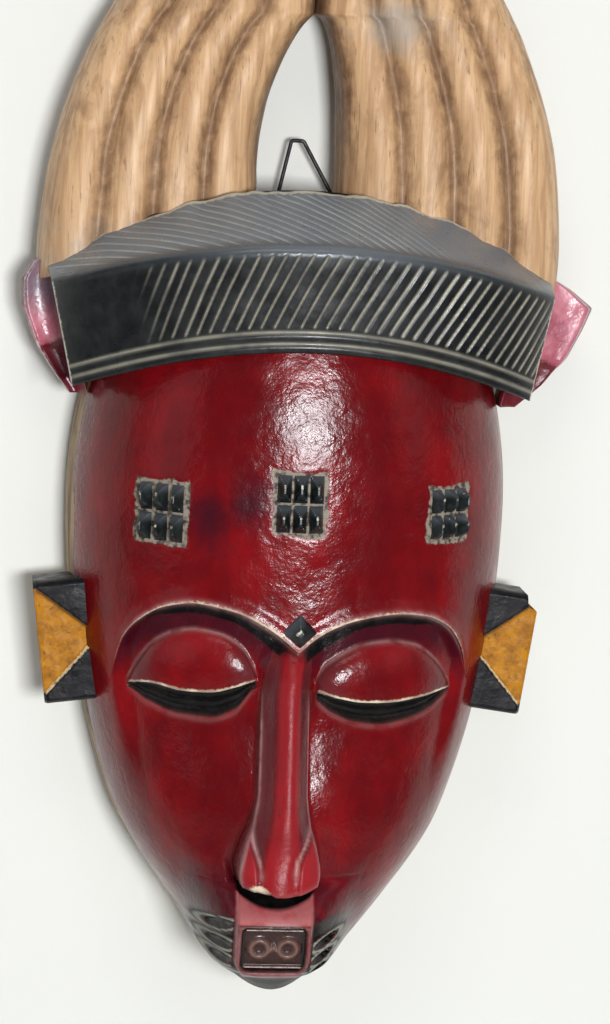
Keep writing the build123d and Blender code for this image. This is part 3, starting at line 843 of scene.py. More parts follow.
def nose_and_mouth(x, z, y, masks):
    """Adds the nose, the muzzle and the gouges beside it to the surface y."""
    wide = np.minimum(nose_half(z), 0.55 * face_half_width(z))
    across = (x - nose_x(z)) / wide
    share = np.abs(across)
    flare = ease(-226, -246, z)
    tip, tip_back = TIP_Z[0] + tip_rise(x), TIP_Z[1] + tip_rise(x)
    # the nose: a ridge off its middle, sloping sides and steep edges that fade in below the brows
    lean = nose_lean(z)
    from_ridge = np.where(across < lean, (lean - across) / (1 + lean), (across - lean) / (1 - lean))
    side = mix(0.50, 0.80, flare)
    slope = mix(1.0, side, ease(0.0, 1.0, from_ridge) ** 1.2)
    crisp = ease(-180, -206, z)
    profile = slope * mix(ease(1.5, 0.45, share), ease(1.06, 0.94, share), crisp)
    on_nose = ease(-162, -184, z) * ease(0, 1, (z - tip_back) / (tip - tip_back))
    y = mix(y, nose_ridge_y(z), profile * on_nose)
    left_crease = nose_x(z) - mix(10.4, 6.8, ease(-235, -248, z))
    right_crease = nose_x(z) + mix(10.0, 4.8, ease(-233, -247, z))
    crease = np.where(across < 0, left_crease, right_crease)
    crease_on = ease(-231, -236, z) * (z > tip - 1)
    crease_end = ease(tip + 3, tip + 8, z)
    y = y + 1.6 * bell(x, crease, 1.1) * crease_on * crease_end
    outside = ease(0.4, 2.2, np.abs(x - nose_x(z)) - np.abs(crease - nose_x(z)))
    wing = crease_on * outside * ease(1.0, 0.93, share)
    y = y - 1.5 * wing * ease(1.0, 0.7, share)
    # the muzzle: a rounded jaw with a flat front round the mouth and a sloping upper lip
    corner = 1 + 0.25 * ease(-283, -291, z) ** 2
    plateau = ease(1.08, 0.97, share * corner)
    jaw = 0.84 * ease(2.5, 0.8, share)
    chin = ease(-299, -287, z)
    shape = mix(ease(2.1, 0.0, share), most(plateau, jaw), chin)
    beside_nose = ease(-226, -264, z) * ease(0.95, 1.35, share)
    on_muzzle = np.where(z > tip_back, beside_nose, ease(-250, -259.5, z)) * ease(-309, -300, z)
    y = mix(y, muzzle_y(z), shape * on_muzzle)
    shadow = (z < tip) * ease(-0.2, 1.0, z - lip_top(x)) * ease(1.08, 0.96, share)
    y = y + 2.6 * shadow * ease(-0.2, 1.6, z - lip_top(x))
    lip = ease(0.6, -0.4, z - lip_top(x)) * ease(LIP_LOW_Z - 0.2, LIP_LOW_Z + 0.8, z) * plateau
    pocket = plate_pocket(x, z)
    y = y + 4.0 * pocket
    frame_low = ease(FRAME_LOW_Z - 0.8, FRAME_LOW_Z, z)
    frame_face = plateau * (1 - pocket) * ease(LIP_LOW_Z, LIP_LOW_Z - 0.6, z) * frame_low
    cut, ridge = gouges(x, z)
    beside = ease(1.02, 1.12, share)
    y = y + (3.4 * cut - 1.0 * ridge) * beside
    # masks
    keep = 1 - profile * on_nose
    nose_edge = bell(share, 0.95, 0.04) * on_nose * ease(-186, -198, z)
    rubbed = most(masks["rubbed"] * keep, 0.8 * nose_edge)
    # painted highlight along the creases beside the nose's wings
    rubbed = most(rubbed, bell(x, crease, 0.75) * crease_on * crease_end * (share < 1))
    rubbed = most(rubbed, 0.35 * bell(z, tip + 0.4, 0.6) * (share < 0.98))
    chip = bell(x, -12, 3.0) * bell(z, tip + 1.0, 1.7)
    frame_edge = bell(share * corner, 1.0, 0.04) * (z < lip_top(x)) * ease(-297, -290, z)
    # painted glint on the upper lip's lower edge
    lip_glint = bell(z, LIP_LOW_Z + 0.7, 0.8) * ease(0.9, 0.3, np.abs(across - 0.1))
    rubbed = most(rubbed, 0.6 * frame_edge, lip_glint * plateau)
    masks["rubbed"] = most(rubbed, 0.4 * frame_face, 0.42 * lip)
    masks["worn"] = most(masks["worn"] * keep, 1.2 * chip)
    around = ease(2.5, 1.9, share) * ease(-264, -272, z) * (1 - plateau * frame_low)
    # painted shadow under the nose, in black
    black = most(masks["black"] * (1 - ease(0.9, 0.5, share) * on_nose), shadow)
    black = most(black, 0.72 * around)
    black = most(black, unit(2 * cut) * beside)
    # the pocket's black is painted shade in the gap round the mouth plate
    masks["black"] = most(black, pocket) * (1 - ridge * beside) * (1 - lip)
    chin_ash = 0.55 * ease(FRAME_LOW_Z + 0.5, FRAME_LOW_Z - 2, z) * ease(2.3, 1.5, share)
    masks["ash"] = most(ridge * beside, chin_ash)
    jaw_shade = 0.6 * ease(-236, -262, z) * ease(3.4, 2.0, share) * (1 - most(lip, frame_face))
    smudge = most(masks["smudge"] * keep, jaw_shade)
    masks["smudge"] = smudge * (1 - on_nose * (share < 1))
    # painted highlight on the nose's ridge, the upper lip and the nose's wings
    bright = most(masks["bright"] * (1 - on_nose), 0.45 * ease(0.52, 0.36, from_ridge) * on_nose)
    masks["bright"] = most(bright, 0.9 * lip, 0.6 * wing)
    # painted shade, in brown, on the nose's sides; on the mouth's frame the brown is its own tone
    brown = 0.9 * ease(0.42, 0.6, from_ridge) * on_nose * (1 - wing) * ease(1.02, 0.97, share)
    masks["brown"] = most(masks["brown"], brown, 0.8 * frame_face)
    return y


CLUSTERS = {  # each cluster of studs: shift across, and pitch of its columns and rows
    "left": (-1.2, 5.2, 10.4),
    "centre": (-1.4, 5.6, 10.4),
    "right": (2.0, 4.7, 9.0),
}


def cluster_middle(name):
    low, high = node_box(f"studs_{name}")
    return (low[0] + high[0]) / 2 + CLUSTERS[name][0], (low[2] + high[2]) / 2


def cluster_ground(x, z, masks):
    """The chalky ground under each cluster of studs, and the dark smudges beside two of them."""
    chalk = np.zeros_like(x)
    ragged = 1.1 * noise(x, 0 * x, z, 3.5, 15, 2)
    for name, (_, pitch_x, pitch_z) in CLUSTERS.items():
        middle_x, middle_z = cluster_middle(name)
        away = most(np.abs(x - middle_x) - 1.5 * pitch_x, np.abs(z - middle_z) - pitch_z)
        chalk = most(chalk, ease(1.6, 0.2, away + ragged))
        if name != "right":
            spot = middle_x + (1.5 * pitch_x + 8) * (1 if name == "left" else -1)
            dark = bell(x, spot, 8) * bell(z, middle_z - 1, 10)
            masks["smudge"] = most(masks["smudge"], 0.85 * dark)
    masks["chalk"] = chalk
    return chalk


def with_ends(x, y, z, steps):
    """Adds rows that close the top and the bottom of a bowl down to the wall plane."""
    share = np.arange(steps) / steps
    top = [(x[0], y[0] * s, z[0]) for s in share]
    low = [(x[-1], y[-1] * s, z[-1]) for s in share[::-1]]
    rows = top + list(zip(x, y, z)) + low
    return np.array([np.stack(row, axis=-1) for row in rows])


def face_x(y, z):
    """How far out the plain face reaches at a distance from the wall."""
    deep = unit((-y - RIM) / (face_depth(z) - RIM))
    return face_half_width(z) * (1 - deep**FACE_POWER) ** (1 / FACE_POWER)


def face_hollow():
    """The inside of the face, left by a broad gouge."""
    rows, columns = 84, 64
    z = np.linspace(HOLLOW_TOP_Z, HOLLOW_END_Z, rows)[:, None] * np.ones((1, columns))
    half = face_half_width(z) - SHELL_WALL
    depth = face_depth(z) - SHELL_FRONT
    angle = np.linspace(pi, 0, columns - 2)
    share = np.sign(np.cos(angle)) * np.abs(np.cos(angle)) ** (2 / FACE_POWER)
    share = np.concatenate([[-1], share, [1]])
    deep = np.concatenate([[0], np.abs(np.sin(angle)) ** (2 / FACE_POWER), [0]])
    x = half * share
    y = -RIM - (depth - RIM) * deep
    y[:, 0] = y[:, -1] = 0
    scoop = noise(x, y, z, (9, 9, 14), 5, 2)
    y = y + 1.3 * scoop * ease(0, -12, y)
    return with_ends(x, y, z, 6)


TIE_SLOT = (7.0, 3.5)  # along Y and Z
TIE_Y = -9.0
TIE_HEIGHTS = (-153.0, -208.0)
TIE_REACH = (56.0, 92.0)


def tie_slots(keys):
    """Round-ended bars through the face's sides, where a tying cord would pass."""
    angle = np.linspace(0, 2 * pi, 25)[:-1]
    radius = TIE_SLOT[1] / 2
    y = radius * np.cos(angle) + np.sign(np.cos(angle)) * (TIE_SLOT[0] / 2 - radius)
    solids = []
    for side, z in product((-1, 1), TIE_HEIGHTS):
        up = z + radius * np.sin(angle)
        rings = [xyz(0 * y + side * x, TIE_Y + y, up) for x in TIE_REACH]
        masks = {key: float(key == "wood") for key in keys}
        solids.append(tube(np.array(rings), masks))
    return join_solids(solids)


def make_face(material):
    x, z, rim = face_grid()
    rise, masks = face_relief(x, z)
    y = face_y(x, z) - rise
    y = nose_and_mouth(x, z, y, masks)
    chalk = cluster_ground(x, z, masks)
    y = y + chalk * (0.25 + 0.35 * noise(x, y, z, 2.2, 3))
    y = y - 0.40 * noise(x, y, z, 15, 11, 2) * ease(-6, -20, y) - 0.10 * noise(x, y, z, 4, 12, 2)
    y = y * (1 - rim)
    grain = noise(x, y, z, (14, 14, 22), 21, 3)
    masks["wood"] = ease(PAINT_EDGE_Y - 2, PAINT_EDGE_Y + 2, y + 5 * grain)
    masks["worn"] = most(masks["worn"], 0.35 * bell(y + 5 * grain, PAINT_EDGE_Y - 2.5, 1.4))
    cap = 10
    outside = with_ends(x, y, z, cap)
    inside = face_hollow()
    rows, columns = outside.shape[:2]
    in_rows, in_columns = inside.shape[:2]
    count = rows * columns
    points = np.concatenate([outside.reshape(-1, 3), inside.reshape(-1, 3)])
    faces = grid_faces(rows, columns) + grid_faces(in_rows, in_columns, count)
    edges = edge_loop(rows, columns), edge_loop(in_rows, in_columns, count)
    faces += stitch(*edges, points, HOLLOW_MIDDLE_Z)
    whole = {}
    for key, value in masks.items():
        closed = float(key == "wood")
        padded = np.full((rows, columns), closed)
        padded[cap:-cap] = value
        whole[key] = np.concatenate([padded.ravel(), np.full(in_rows * in_columns, closed)])
    cutter = tie_slots(list(whole))
    look = material, "face_red", ["face_shell"]
    make_piece("face_carved", points, faces, whole, *look, cutter=cutter)


# ---- The crown and its band ----

CROWN_BACK_Y = -12.0
BAND_LIP = 4.0
BAND_UNDERCUT = 6.0
HIDDEN_Z = FACE_TOP_Z - 0.3
TOP_HATCH = {"pitch": 4.9, "shear": 1.85, "from": -90.0, "to": 36.0}
FRONT_HATCH = {"pitch": 4.7, "shear": -0.52, "from": -62.0, "to": 95.0}


def band_line(line, x):
    middle, fall = ((-16, 30), (-34, 17), (-70, 21))[line]
    return middle - fall * (x / 90) ** 2


def band_ridge_y(x):
    return -32 - 58 * np.sqrt(unit(1 - (x / 94) ** 2))


def band_back_y(x):
    return -47 + 13 * (x / 90) ** 2


def seat_z(x):
    return -21 - 0.33 * np.abs(x)


def crown_end_x(z):
    return 91.5 + (z + 38) * 12 / 54


def hatch(along, down, hatching, seed):
    """Depth, from 0 to 1, of hand-cut lines along a surface."""
    place = (along - hatching["shear"] * down) / hatching["pitch"]
    number = np.floor(place + 0.5)
    number_noise = lattice(xyz(number + 0.5, number * 0 + 0.5, number * 0 + 0.5), seed)
    wander = 0.16 * number_noise + 0.05 * noise(along, down, 0 * along, 14, seed, 2)
    off = np.abs(place - number - wander) * hatching["pitch"]
    width = 0.66 + 0.18 * number_noise
    return unit(1 - off / width) * (0.8 + 0.2 * number_noise)


BAND_COLUMNS = 431
BAND_STEPS = (66, 62, 14, 5, 8, 8, 10, 4, 5)  # along the profile, from the back of the top


def make_band(material):
    columns_c = np.linspace(-1, 1, BAND_COLUMNS)
    rings = []
    for c in columns_c:
        ring = None
        for _ in range(4):
            x = np.full(9, c * 88.0) if ring is None else c * crown_end_x(ring[:, 1])
            under = np.minimum(CROWN_BACK_Y, face_y(x, band_line(2, x)) + 3)
            low, ridge, back, seat = band_line(2, x), band_line(1, x), band_line(0, x), seat_z(x)
            ring = np.array([
                (band_back_y(x[0]), back[0]),
                (band_ridge_y(x[1]), ridge[1]),
                (band_ridge_y(x[2]) + BAND_UNDERCUT, low[2]),
                (under[3], low[3]),
                (under[4], max(low[4], HIDDEN_Z)),
                (CROWN_BACK_Y, max(low[5], HIDDEN_Z)),
                (CROWN_BACK_Y, seat[6]),
                (band_back_y(x[7]) + BAND_LIP, seat[7]),
                (band_back_y(x[8]) + BAND_LIP, back[8]),
            ])
        rings.append(np.column_stack([x, ring]))
    corners = np.array(rings)
    share = np.concatenate([k + np.arange(n) / n for k, n in enumerate(BAND_STEPS)])
    closed = np.concatenate([corners, corners[:, :1]], axis=1)

    def along_profile(offset):
        """Points at the shares, moved along the profile by an offset in millimetres."""
        result = np.empty((len(corners), len(share), 3))
        for k, loop in enumerate(closed):
            length = np.concatenate([[0], np.cumsum(np.linalg.norm(np.diff(loop, axis=0), axis=1))])
            at = np.interp(share, np.arange(len(loop)), length) + offset
            at = np.mod(at, length[-1])
            for axis in range(3):
                result[k, :, axis] = np.interp(at, length, loop[:, axis])
        return result

    soft = sum(along_profile(d) for d in (-2.4, -1.2, 0, 1.2, 2.4)) / 5
    crisp = sum(along_profile(d) for d in (-0.6, 0, 0.6)) / 3
    near_ridge = (bell(share, 1.0, 0.25))[None, :, None]
    points = mix(crisp, soft, near_ridge)
    x, y, z = points[..., 0], points[..., 1], points[..., 2]
    wave = noise(x, y, z, (16, 16, 10), 31, 2)
    on_top = (share < 1)[None, :] & (share >= 0)[None, :]
    on_front = ((share >= 1) & (share < 2))[None, :]
    plan = np.cumsum(np.hypot(np.gradient(corners[:, 1, 0]), np.gradient(corners[:, 1, 1])))
    along = (plan - plan[len(plan) // 2])[:, None] * np.ones_like(x)
    down_top = (band_line(0, x) - z) + 0.14 * (band_back_y(x) - y)
    left_to_ridge = (z - band_line(1, x)) + 0.14 * (y - band_ridge_y(x))
    fade = ease(TOP_HATCH["to"] + 8, TOP_HATCH["to"] - 22, x - 0.8 * down_top)
    top_lines = hatch(x, down_top, TOP_HATCH, 41) * fade * on_top
    top_lines = top_lines * ease(0.8, 2.6, down_top) * ease(1.6, 3.4, left_to_ridge)
    above_low = z - band_line(2, x)
    down_front = band_line(1, x) - z
    front_lines = hatch(along, down_front, FRONT_HATCH, 43) * on_front
    front_lines = front_lines * ease(1.2, 3.4, down_front) * ease(8.4, 9.8, above_low)
    strong = ease(-66, -46, along) * (0.72 + 0.28 * ease(0, 60, along))
    front_lines = front_lines * strong
    border = most(bell(above_low, 3.4, 0.55), bell(above_low, 7.4, 0.55)) * on_front
    bead = most(bell(above_low, 1.6, 1.3), bell(above_low, 5.4, 1.3)) * on_front
    depth = 0.75 * top_lines + 0.85 * front_lines + 0.5 * border - 0.35 * bead
    out = np.zeros_like(points)
    out[..., 1] = 1.0
    out[..., 2] = np.where(on_top, -0.9, 0.1)
    out /= np.linalg.norm(out, axis=-1, keepdims=True)
    points = points + out * (depth * (on_top | on_front))[..., None]
    edge_line = bell(share, 0, 0.055) + bell(share, 9, 0.055)
    ragged = noise(x, y * 0, z * 0, 7, 51, 3)
    lift = (bell(share, 0.0, 0.25) + bell(share, 9, 0.6) + (share > 8) * 1.0)[None, :]
    points[..., 2] += unit(lift) * 1.3 * ragged
    points = points - out * (0.25 * wave * (on_top | on_front))[..., None]
    ends = bell(np.abs(columns_c), 1.0, 0.006)[:, None]
    lower_edge = bell(above_low, 0.3, 0.4) * on_front
    # painted sheen along the ridge
    sheen = 0.5 * bell(share, 1.0, 0.07) * bell(x, 5, 45)
    masks = {
        "worn": np.clip(
            0.95 * edge_line[None, :] * (0.8 + 0.4 * ragged)
            + 0.6 * ends * on_front
            + 0.1 * lower_edge,
            0,
            1,
        ),
        "line": unit(0.9 * top_lines + front_lines + 0.42 * border),
        # grey-blue painted sheen, a reflection of the sky, on the top facet and the ridge, and a
        # little at the band's ends
        "dust": unit(0.85 * on_top * ease(-1, 5, left_to_ridge) + 0.25 * ends + sheen),
    }
    solid = tube(points, masks)
    make_piece("crown_carved", *solid, material, "crown_black", ["crown_band"])


# ---- The horns ----

SEAM_X = 2.3
HORN_TOP_Z = node_box("horn_left")[1][2]
HORN_GROOVES = (0.0, 0.27, 0.50, 0.74, 1.0)
GAP = {-1: (18.5, 0.8), 1: (9.8, 0.42)}  # the gap's half width and power on each side of the seam


def gap_edge(side, z):
    wide, power = GAP[side]
    rise = unit((z + 10) / 55)
    return SEAM_X + side * (wide * (1 - rise**2) ** power + 0.05 + 0.06 * most(0, z - 100))


def outer_edge(side, z):
    rise = most(0, z + 50) / 175
    return SEAM_X * unit((z + 55) / 100) + side * 94 * (1 - rise**2.4)


def make_horn(name, side, material):
    rows, front_count = 190, 84
    share = np.concatenate([
        np.linspace(0, 1, front_count),
        np.full(9, 1.0),
        np.linspace(1, 0, 22)[1:-1],
        np.full(9, 0.0),
    ])
    back = np.concatenate([
        np.zeros(front_count),
        np.linspace(0, 1, 11)[1:-1],
        np.ones(20),
        np.linspace(1, 0, 11)[1:-1],
    ])
    rise = np.linspace(0, 1, rows)[:, None]
    foot = np.full((1, len(share)), -35.0)
    for _ in range(20):
        x = gap_edge(side, foot) + share * (outer_edge(side, foot) - gap_edge(side, foot))
        foot = seat_z(x)
    z = foot + (HORN_TOP_Z - foot) * rise
    inner, outer = gap_edge(side, z), outer_edge(side, z)
    x = inner + share * (outer - inner)
    thick = 30 * (1 - (most(0, z + 20) / 155) ** 2.2)
    width = np.abs(outer - inner)
    round_off = (1 - np.abs(2 * share - 1) ** 3.2) ** (1 / 2.0)
    groove = np.zeros_like(x)
    lobe = np.zeros_like(x)
    wander = 0.022 * noise(0 * x, 0 * x, z, 30, 61 + side, 2)
    for start, end in zip(HORN_GROOVES, HORN_GROOVES[1:]):
        place = (share + wander - start) / (end - start)
        inside = (place >= 0) & (place <= 1)
        lobe = np.where(inside, np.sqrt(unit(1 - (2 * place - 1) ** 2)), lobe)
    for start in HORN_GROOVES[1:-1]:
        groove = most(groove, bell(share + wander, start, 0.05))
    deep = np.clip(width / 80, 0.15, 1)
    depth = thick * (0.26 + 0.50 * round_off) + deep * (9.0 * lobe)
    y = CROWN_BACK_Y - depth * (1 - back)
    for _ in range(2):
        x = (np.roll(x, 1, 1) + 2 * x + np.roll(x, -1, 1)) / 4
        y = (np.roll(y, 1, 1) + 2 * y + np.roll(y, -1, 1)) / 4
    facet = noise(x, y, z, (9, 9, 26), 71, 2)
    ripple = noise(x, y, z, (2.4, 2.4, 40), 72, 2)
    y = y - (0.9 * facet + 0.28 * ripple) * (1 - back)
    x = x + 0.35 * noise(x, y, z, (12, 12, 18), 73, 2)
    gap_side_shade = ease(0.10, 0.0, share) * ease(-30, 20, z) * ease(110, 60, z)
    masks = {
        # painted shade in the grooves, on the side by the gap and in the dips between facets
        "dark": unit(0.62 * groove + 0.7 * gap_side_shade + 0.15 * bell(facet, -0.6, 0.3)),
        "grey": (bell(x, 30, 12) * bell(z, 42, 9)) if side > 0 else 0.3 * ease(-24, -34, z),
    }
    solid = tube(xyz(x, y, z), masks)
    make_piece(f"{name}_carved", *solid, material, "horn_wood", [name])


# ---- The flaps ----

FLAPS = {
    "left": [
        (-90, -43.5), (-95, -45.5), (-99, -52), (-98.5, -62), (-93, -76), (-86, -86), (-81, -92),
    ],
    "right": [
        (91, -44.5), (99, -49), (107.5, -55.5), (104, -64), (99, -74), (91, -84), (81, -92),
    ],
}


def make_flap(side_name, side, material):
    outline = FLAPS[side_name]
    steps = np.linspace(0, len(outline) - 1, 61)
    out_x = np.interp(steps, range(len(outline)), [p[0] for p in outline])
    out_z = np.interp(steps, range(len(outline)), [p[1] for p in outline])
    for _ in range(3 if side < 0 else 1):
        out_x[1:-1] = (out_x[:-2] + 2 * out_x[1:-1] + out_x[2:]) / 4
        out_z[1:-1] = (out_z[:-2] + 2 * out_z[1:-1] + out_z[2:]) / 4
    in_z = out_z
    in_x = side * (crown_end_x(in_z) - 5)
    v = np.linspace(0, 1, 30)[None, :]
    x = in_x[:, None] + (out_x - in_x)[:, None] * v
    z = in_z[:, None] + (out_z - in_z)[:, None] * v
    low, high = node_box(f"flap_{side_name}")
    front = low[1]
    dish = 3.2 if side < 0 else 1.0
    y = front + 3.0 * v + dish * np.sin(pi * unit(v)) + 6 * ease(0.86, 1.0, v) ** 2
    facet = ease(-73, -77, z + 0.35 * (x * side - 90))
    y = y + facet * (2.2 if side > 0 else 1.4) + 0.35 * noise(x, y, z, 8, 81, 2)
    back = np.full_like(x, high[1]) - 3.0 * ease(0.7, 1.0, v) ** 2
    edge = ease(0.9, 0.98, v)
    masks = {
        "worn": 0.45 * bell(v, 0.93, 0.03) + 0.2 * bell(z, -75, 1),
        "dust": 0.9 * ease(-70, -54, z) if side < 0 else 0.1 * ease(-74, -66, z),
        "dark": unit(facet + 0.6 * edge),
    }
    points = slab(xyz(x, y, z), xyz(x, back, z), masks)
    name = f"flap_{side_name}"
    make_piece(f"{name}_carved", *points, material, "flap_red", [name])


# ---- The ornaments ----

ORNAMENT_SIZE = (34.0, 20.0, 44.0)
ORNAMENT_X, ORNAMENT_Y, ORNAMENT_Z = 72.0, -27.0, -179.5
ORNAMENT_LEAN = 7.5
FOOT_SUNK = 3.0  # how far the block's foot is let into the face's side


TENON = (8.0, 18.0)  # along Y and Z
TENON_X = (52.0, 76.0)


def tenon(side, keys):
    """The ornament's tenon inside the face, whittled to rounded edges."""
    angle = np.linspace(0, 2 * pi, 49)[:-1]
    rings = []
    for share, size in ((0.0, 0.82), (0.06, 0.96), (0.15, 1.0), (1.0, 1.0)):
        y = TENON[0] / 2 * size * np.sign(np.cos(angle)) * np.abs(np.cos(angle)) ** 0.3
        z = TENON[1] / 2 * size * np.sign(np.sin(angle)) * np.abs(np.sin(angle)) ** 0.3
        x = np.full_like(y, side * (TENON_X[0] + share * (TENON_X[1] - TENON_X[0])))
        rings.append(xyz(x, ORNAMENT_Y + y, ORNAMENT_Z + z))
    return tube(np.array(rings), dict.fromkeys(keys, 0.0))


def make_ornament(side_name, side, material):
    wide, thick, tall = ORNAMENT_SIZE
    u, v = unit_grid(79, 93)
    v = -v
    # u runs from the face outwards, v from the bottom up; the triangle's base is on the outer edge
    across = (u * wide / 2 + 5.5) / (wide / 2 + 5.5)
    reach = across * 0.93
    inside = (reach - np.abs(v - 0.04)) * tall / 2
    floor = ease(0.0, 1.6, inside) * ease(1.0, 0.93, u)
    rounding = 1.8 * (ease(0.90, 1.0, np.abs(u)) ** 2 + ease(0.92, 1.0, np.abs(v)) ** 2)
    height = thick / 2 - 2.1 * floor - rounding
    x = side * u * wide / 2
    z = v * tall / 2
    front = xyz(x, -height - 0.22 * noise(x, height, z, 5, 91 + side, 3), z)
    back = xyz(x, np.full_like(x, thick / 2), z)
    if side > 0:
        corner = ease(0.72, 1.0, u) * ease(0.72, 1.0, v)
        for grid in (front, back):
            grid[..., 0] -= side * 4.5 * corner
            grid[..., 2] -= 3.5 * corner
    turn = np.array(Matrix.Rotation(radians(side * ORNAMENT_LEAN), 3, "Y"))
    middle = np.array([side * ORNAMENT_X, ORNAMENT_Y, ORNAMENT_Z])
    bevel = bell(inside, 0.8, 0.8) * ease(1.0, 0.93, u)
    patchy = ease(0.2, 0.9, noise(x, height, z, 9, 95))
    masks = {
        "ochre": ease(0.5, 1.5, inside) * ease(1.02, 0.97, u),
        # painted shade on the upper bevels, in brown; the pale on the lower bevels is painted
        # highlight laid with the worn paint
        "brown": 0.8 * bevel * (v > 0),
        "worn": 0.55 * bevel * (v < 0) + 0.35 * ease(0.93, 0.99, np.abs(v)) * patchy,
    }
    grids = [front @ turn.T + middle, back @ turn.T + middle]
    for grid in grids:
        foot = face_x(grid[..., 1], grid[..., 2]) - FOOT_SUNK
        grid[..., 0] = side * most(side * grid[..., 0], foot)
    block = slab(*grids, masks)
    points, faces, masks = join_solids([block, tenon(side, list(masks))])
    name = f"ornament_{side_name}"
    make_piece(f"{name}_carved", points, faces, masks, material, "ornament_black", [name])


# ---- Studs ----


def surface_frame(x, z):
    """A place on the face with its directions across, up and out."""
    step = 0.5
    slope_x = float(face_y(x + step, z) - face_y(x - step, z)) / (2 * step)
    slope_z = float(face_y(x, z + step) - face_y(x, z - step)) / (2 * step)
    out = np.array([slope_x, -1, slope_z])
    out /= np.linalg.norm(out)
    up = np.array([0, slope_z, 1])
    up /= np.linalg.norm(up)
    across = np.cross(up, out)
    return np.array([x, float(face_y(x, z)), z]), across / np.linalg.norm(across), up, out


STUD_GRID = 17


def stud_solid(x, z, size, top, height, seed, turned=0.0):
    """A hand-cut stud: four leaning facets, softened arrises and a sunk foot."""
    place, across, up, out = surface_frame(x, z)
    u, v = unit_grid(STUD_GRID, STUD_GRID)
    jitter = lattice(np.array([[seed * 3.7 + k, 0.5, 0.5] for k in range(4)]), 5)
    peak_u, peak_v = 0.12 * jitter[0], 0.10 * jitter[1]
    slope_u = (1 - np.abs(u - peak_u)) / (1 - top[0] / size[0])
    slope_v = (1 - np.abs(v - peak_v)) / (1 - top[1] / size[1])
    raised = np.minimum(np.minimum(slope_u, slope_v), 1.0)
    soft = unit(raised) ** 0.85
    lift = height * (1 + 0.08 * jitter[2]) * soft + 0.10 * noise(u * 3, v * 3, 0 * u, 1.5, seed, 2)
    a, b = u * size[0] / 2, v * size[1] / 2
    angle = radians(turned + 3 * jitter[3])
    a, b = a * cos(angle) - b * sin(angle), a * sin(angle) + b * cos(angle)
    front = place + a[..., None] * across + b[..., None] * up + lift[..., None] * out
    back = place + a[..., None] * across + b[..., None] * up - 2.5 * out
    masks = {
        # painted sheen on the upper slopes and a painted highlight on the top, both only on the top
        # half
        "dust": 0.25 * ease(0.1, 0.9, v) * (soft < 0.96),
        "worn": 0.38 * bell(soft, 1.0, 0.05) * (v > 0),
    }
    return slab(front, back, masks)


BROW_STUD_SHIFT = np.array([-1.2, 0, -0.8])


def make_studs(material):
    for number, (name, (_, pitch_x, pitch_z)) in enumerate(CLUSTERS.items()):
        middle_x, middle_z = cluster_middle(name)
        solids = []
        for column, row in product((-1, 0, 1), (-0.5, 0.5)):
            seed = 10 * number + 3 * column + int(2 * row) + 5
            size = (pitch_x - 0.8, pitch_z - 0.9)
            place = (middle_x + column * pitch_x, middle_z + row * pitch_z)
            solids.append(stud_solid(*place, size, (0.8, 3.2), 4.2, seed))
        whole = join_solids(solids)
        nodes = [f"studs_{name}"]
        make_piece(f"studs_{name}_cut", *whole, material, "stud_black", nodes, smooth=False)


def make_brow_stud(material):
    low, high = node_box("brow_stud")
    middle = (low + high) / 2 + BROW_STUD_SHIFT
    solid = stud_solid(middle[0], middle[2], (9.3, 9.3), (2.6, 2.6), 4.2, 3, turned=45)
    make_piece("brow_stud_cut", *solid, material, "stud_black", ["brow_stud"])


# ---- Mouth plate ----


def make_mouth_plate(material):
    u = np.linspace(-1, 1, 73)[None, :] * np.ones((57, 1))
    v = np.linspace(1, -1, 57)[:, None] * np.ones((1, 73))
    wide, tall = PLATE_X[1] - PLATE_X[0] - 0.6, PLATE_Z[0] - PLATE_Z[1] - 0.6
    x = (PLATE_X[0] + PLATE_X[1]) / 2 + u * wide / 2
    z = (PLATE_Z[0] + PLATE_Z[1]) / 2 + v * tall / 2
    bars = bell(np.abs(v), 0.84, 0.05)
    across, down = u * wide / 2, -v * tall / 2
    teeth = np.zeros_like(x)
    for middle in (-5.0, 5.0):
        ring = np.hypot((across - middle) / 3.1, down / 3.0)
        teeth = most(teeth, bell(ring, 1.0, 0.4))
    stroke = bell(down - 0.8 * np.abs(across), -0.4, 1.5) * ease(5.2, 3.6, np.abs(across))
    teeth = most(teeth, 0.9 * stroke)
    inner = ease(0.98, 0.9, np.abs(u))
    relief = most(teeth, bars) * inner
    y = muzzle_y(z) + 3.0 - 1.7 * relief + 0.12 * noise(x, 0 * x, z, 2, 97, 2)
    front = xyz(x, y, z)
    back = xyz(x, y + 4, z)
    masks = {
        "relief": relief,
        # painted shade at the plate's edges, in black
        "black": most(ease(0.84, 0.94, np.abs(u)), ease(0.88, 0.96, np.abs(v))),
        "worn": 0.5 * bars * inner,
    }
    look = material, "mouth_brown", ["mouth_plate"]
    make_piece("mouth_plate_carved", *slab(front, back, masks), *look)


# ---- The scene ----


MIDDLE = (0, -0.05, -0.12)
BROW_HEIGHT = (0, -0.08, -0.1)
LIGHTS = {  # where each one is, where it points, its size, its watts and its colour
    "key": ((-0.15, -1.1, 1.3), MIDDLE, (0.9, 0.6), 7, (1.0, 0.98, 0.95)),
    "window": ((0.17, -1.65, -0.03), BROW_HEIGHT, (0.36, 0.26), 28, (0.95, 0.97, 1.0)),
    "fill_left": ((-1.5, -0.7, 0.1), MIDDLE, (0.9, 0.9), 2, (0.92, 0.96, 1.0)),
    "fill_right": ((1.4, -0.8, 0.3), MIDDLE, (0.7, 0.9), 1.2, (1.0, 0.97, 0.93)),
    "behind": ((0.1, 1.2, 0.1), MIDDLE, (0.6, 0.6), 12, (1.0, 0.98, 0.95)),
}


